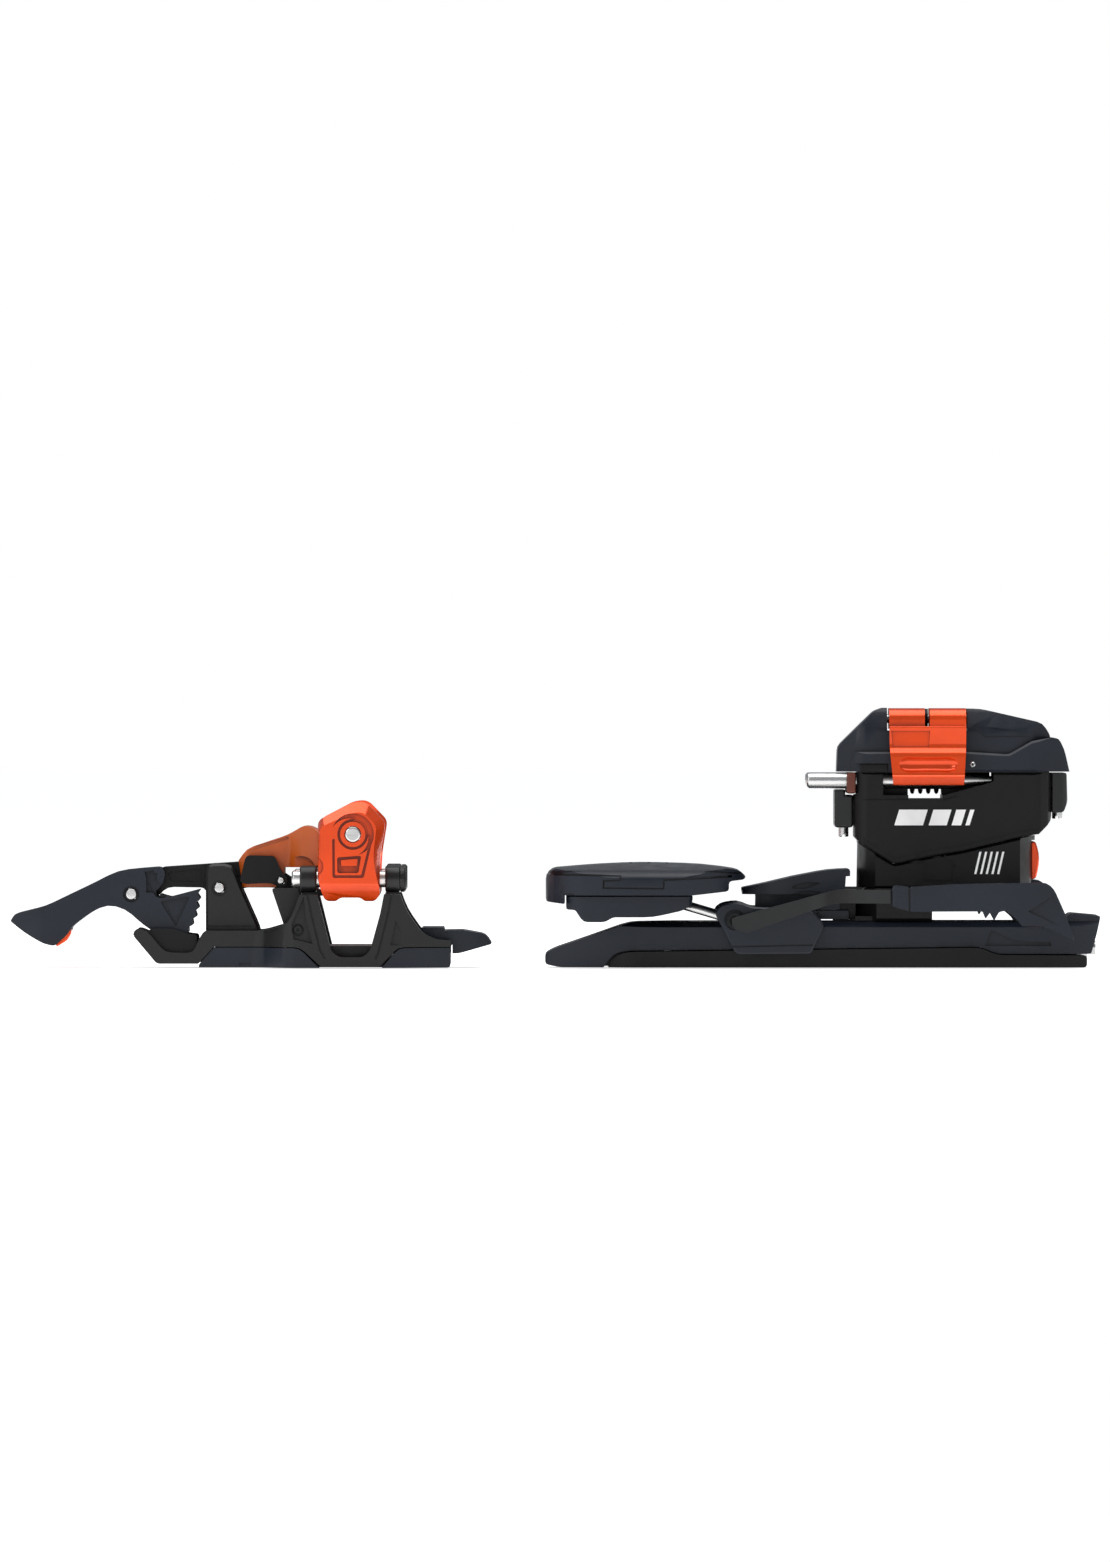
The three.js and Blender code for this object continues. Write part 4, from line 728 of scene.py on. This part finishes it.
def tower_housing():
    """Housing: a sunk hem along its lower edge, seams beside the windows, grooves at either end."""
    hem = HOUSING_EDGE + [[x, z + 2.1] for x, z in reversed(HOUSING_EDGE)]
    seams = [[[-30, 55.7], [-11.4, 55.9]], [[0.2, 55.6], [16, 60.6]]]
    cutters = [heel.rod(5, -22.5, 16.5, X, [0, 0, SPRING_Z])]
    shoulder = [[-0.2, 57], [17.3, 57], [17.3, 62], [15.6, 61.2]]
    shoulders = both(lambda side: heel.side(shoulder, side * 17.3, side * TOWER_HALF))
    for side in (-1, 1):
        skin, out = side * (TOWER_HALF - 0.45), side * (TOWER_HALF + 1)
        cutters.append(heel.side(hem, skin, out, 1))
        cutters += [heel.side(strip(seam, 0.5), side * (TOWER_HALF - 0.6), out, 1) for seam in seams]
        cutters.append(heel.block(32.2, 32.7, skin, out, 45, 64.6))
        cutters.append(heel.block(-27.4, -27, skin, out, 44, 55.4))
    ledges = [heel.block(x0, x1, side * 6, side * 8.3, 58, 61.6)
              for x0, x1 in ((-19.6, -11.4), (0.1, 16.9)) for side in (-1, 1)]
    carved("tower_housing_moulding", "tower_housing", *cutters, extra=shoulders + ledges, soft=0.35)
    seal = cut(heel.block(-28, 35.4, -18.9, 18.9, 64.72, 65.02),
               heel.block(-25.6, 24, -17, 17, 64, 66))
    finished(seal, "tower_seal", "tower_housing", 0, "black_plastic", False)
    plunger = heel.turned([[2.6, -22], [3.2, -21.4], [3.2, 15.4], [2.6, 16]], X,
                          [0, 0, SPRING_Z], 24)
    finished(plunger, "spring_plunger", "tower_housing", 0, "dark_steel", False)


def tower_column():
    """Column: a sunk panel, a stepped line and a short slot on either side."""
    panel = [[-14.6, 38], [-0.4, 40.4], [-0.4, 36.2, 0.4], [-12.6, 37.2, 0.4]]
    step = [[-13, 36], [4.4, 34.2], [4.4, 33.4], [-12.4, 35]]
    cutters = []
    for side in (-1, 1):
        cutters += [heel.side(shape, side * 17, side * 19) for shape in (panel, step)]
        cutters.append(heel.block(0.6, 1.2, side * 17, side * 19, 34.6, 39))
    carved("tower_column_moulding", "tower_column", *cutters)


def tower_cap():
    """Cap: a black bar let into the front of its band, a crease round the roof, a small screw."""
    bars = both(lambda side: heel.block(-33, -17.9, side * 18.7, side * 21, 64, 67.8))
    dent = [[9.4, 80.6, 1], [25, 78.6, 1], [29.6, 76.6, 1], [14, 76.4, 1]]
    dents = both(lambda side: heel.side(dent, side * 16.9, side * 19))
    vents = [heel.block(x, x + 1.2, -7, 7, 83.4, 90) for x in (14.4, 17, 19.6)]
    carved("tower_cap_moulding", "tower_cap", *bars, *dents, *vents, soft=0.5)
    for name, side in SIDES:
        liner = heel.side([[-27.2, 65, 0.4], [-27.6, 67.6, 0.6], [-18.1, 67.6], [-18.1, 65]],
                          side * 17.6, side * 19.5)
        finished(liner, f"cap_liner_{name}", "tower_cap", 0.25, "black_plastic", False)
        hex_screw(f"cap_screw_{name}", heel, [10, side * 19.4, 67.4], Y * side, 0.9, 0.8, "tower_cap")


def printed(name, shape, side, skin):
    """A thin printed mark, slanted like the tower's edges, drawn from the side."""
    mark = heel.side(shape, side * skin, side * (skin + 0.08), 2)
    mark.name = mark.data.name = name
    mark.data.materials.append(WHITE_INK)
    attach(mark, body_of_node("tower_housing"))


def tower_marks():
    """Plain slanted bars on the housing and fine slanted lines on the column."""
    low, high, lean = 47.2, 52.4, 1.6
    for side_name, side in SIDES:
        for k, (x, width) in enumerate(((-16, 9.5), (-4.6, 6), (3, 3.2), (7.6, 1.4))):
            bar = [[x, low], [x + width, low], [x + width + lean, high], [x + lean, high]]
            printed(f"bar_{side_name}_{k + 1}", bar, side, TOWER_HALF)
        for k in range(5):
            x = 10.6 + 1.9 * k
            line = [[x, 31], [x + 0.7, 31], [x + 2.4, 38.4], [x + 1.7, 38.4]]
            printed(f"fine_line_{side_name}_{k + 1}", line, side, COLUMN_HALF)


def inner_walls():
    """Walls inside the mouldings that close the view across the ski."""
    finished(toe.side([[-52.6, 1.7], [-49, 1.7], [-45.2, 6.2], [-48.8, 6.2]], -15, 15),
             "toe_base_wall", "toe_base_pad", 0.2, stands_for=False)
    finished(heel.side([[-112.9, 0.5], [-104, 0.5], [-104, 5.6], [-108.6, 5.6]], -19, 19),
             "track_nose_wall", "heel_base_plate", 0.2, stands_for=False)
    hook = [[-31, 15.9], [-28.6, 15.9], [-28.6, 21.3], [-35, 21.3], [-35, 18.9], [-31, 18.9]]
    finished(heel.side(hook, -10, 10), "carriage_wall", "carriage", 0.2, stands_for=False)
    finished(heel.side([[-28, 41.2], [-16, 33.4], [-16, 36.4], [-28, 44.2]], -13, 13),
             "column_wall", "tower_column", 0.2, stands_for=False)
    finished(heel.rod(3.3, -5.7, -4.5, X, [0, 0, RISER_AXLE_Z]), "axle_spacer", "riser_axle", 0,
             "black_plastic", False)


# ---- Every piece, in turn ------------------------------------------------------------------------

for name, side in SIDES:
    jaw(name, side)
shaft_caps()
coil("jaw_coil_front", "jaw_spring_front", Y, 2.05, 0.5, 9)
coil("jaw_coil_rear", "jaw_spring_rear", Y, 2.05, 0.5, 9)
toe_frame()
toe_base()
rocker()
lever()
riser_high()
riser_low()
brake_pad()
brake_parts()
tower_housing()
tower_column()
tower_cap()
tower_marks()
inner_walls()
coil("release_coil", "release_spring", X, 4.2, 0.62, 15, "dark_steel")


# ---- CAD nodes that stay: finish, softened edges -------------------------------------------------

BRIGHT_ORANGE_NODES = ("rear_indicator", "lever_grip")

for node, obj in frame["nodes"].items():
    if not obj.hide_render:
        paint(obj, "orange_anodised" if node in BRIGHT_ORANGE_NODES else CAD_FINISH[node])
        soften(obj)


# ---- Studio --------------------------------------------------------------------------------------

WORLD_LIGHT = 0.36
FLOOR_GLOW = 0.71
OVERHEAD_POWER, FRONT_LEFT_POWER = 22, 6.5  # watts
LIGHTS_AIM = (0, 0, 0.04)
CAMERA_DISTANCE, CAMERA_RISE = 6.0, math.radians(0.35)
CAMERA_AIM = Vector((0, 0, 0.0618))
CAMERA_LENS = 415.0  # millimetres


def area_light(name, where, aim, size, power):
    """A soft white rectangle of light that faces a point."""
    data = bpy.data.lights.new(name, "AREA")
    data.shape = "RECTANGLE"
    data.size, data.size_y = size
    data.energy = power
    light = bpy.data.objects.new(name, data)
    bpy.context.scene.collection.objects.link(light)
    light.location = where
    light.rotation_euler = (Vector(aim) - Vector(where)).to_track_quat("-Z", "Y").to_euler()


def studio():
    """White surroundings that light less than they show, a glowing pale floor, and two soft lights."""
    scene = bpy.context.scene
    scene.view_settings.view_transform = "Standard"
    world = bpy.data.worlds.new("studio")
    world.use_nodes = True
    scene.world = world
    nodes, links = world.node_tree.nodes, world.node_tree.links
    seen = nodes["Background"]
    seen.inputs["Color"].default_value = (1, 1, 1, 1)
    lighting = nodes.new("ShaderNodeBackground")
    lighting.inputs["Color"].default_value = (0.93, 0.96, 1, 1)
    lighting.inputs["Strength"].default_value = WORLD_LIGHT
    sight = nodes.new("ShaderNodeLightPath")
    choice = nodes.new("ShaderNodeMixShader")
    links.new(sight.outputs["Is Camera Ray"], choice.inputs["Fac"])
    links.new(lighting.outputs["Background"], choice.inputs[1])
    links.new(seen.outputs["Background"], choice.inputs[2])
    links.new(choice.outputs["Shader"], nodes["World Output"].inputs["Surface"])
    bpy.ops.mesh.primitive_plane_add(size=24, location=(0, 0, -0.0004))
    floor = bpy.context.object
    floor.name = "floor"
    pale, _, shader = material("pale_floor", (0.85, 0.85, 0.85), 0.95, Specular_IOR_Level=0.0)
    shader.inputs["Emission Color"].default_value = (1, 1, 1, 1)
    shader.inputs["Emission Strength"].default_value = FLOOR_GLOW
    floor.data.materials.append(pale)
    area_light("overhead", (0.0, -0.05, 1.4), LIGHTS_AIM, (2.0, 1.3), OVERHEAD_POWER)
    area_light("front_left", (-1.1, -1.3, 0.8), LIGHTS_AIM, (0.7, 0.7), FRONT_LEFT_POWER)


def camera():
    """A long lens, a little above the ski, square to the side of the binding."""
    data = bpy.data.cameras.new("camera")
    view = bpy.data.objects.new("camera", data)
    bpy.context.scene.collection.objects.link(view)
    bpy.context.scene.camera = view
    towards = Vector((0, -math.cos(CAMERA_RISE), math.sin(CAMERA_RISE)))
    view.location = CAMERA_AIM + CAMERA_DISTANCE * towards
    view.rotation_euler = (CAMERA_AIM - view.location).to_track_quat("-Z", "Y").to_euler()
    data.sensor_width = 36
    data.lens = CAMERA_LENS
    data.clip_start, data.clip_end = 0.05, 50


studio()
camera()
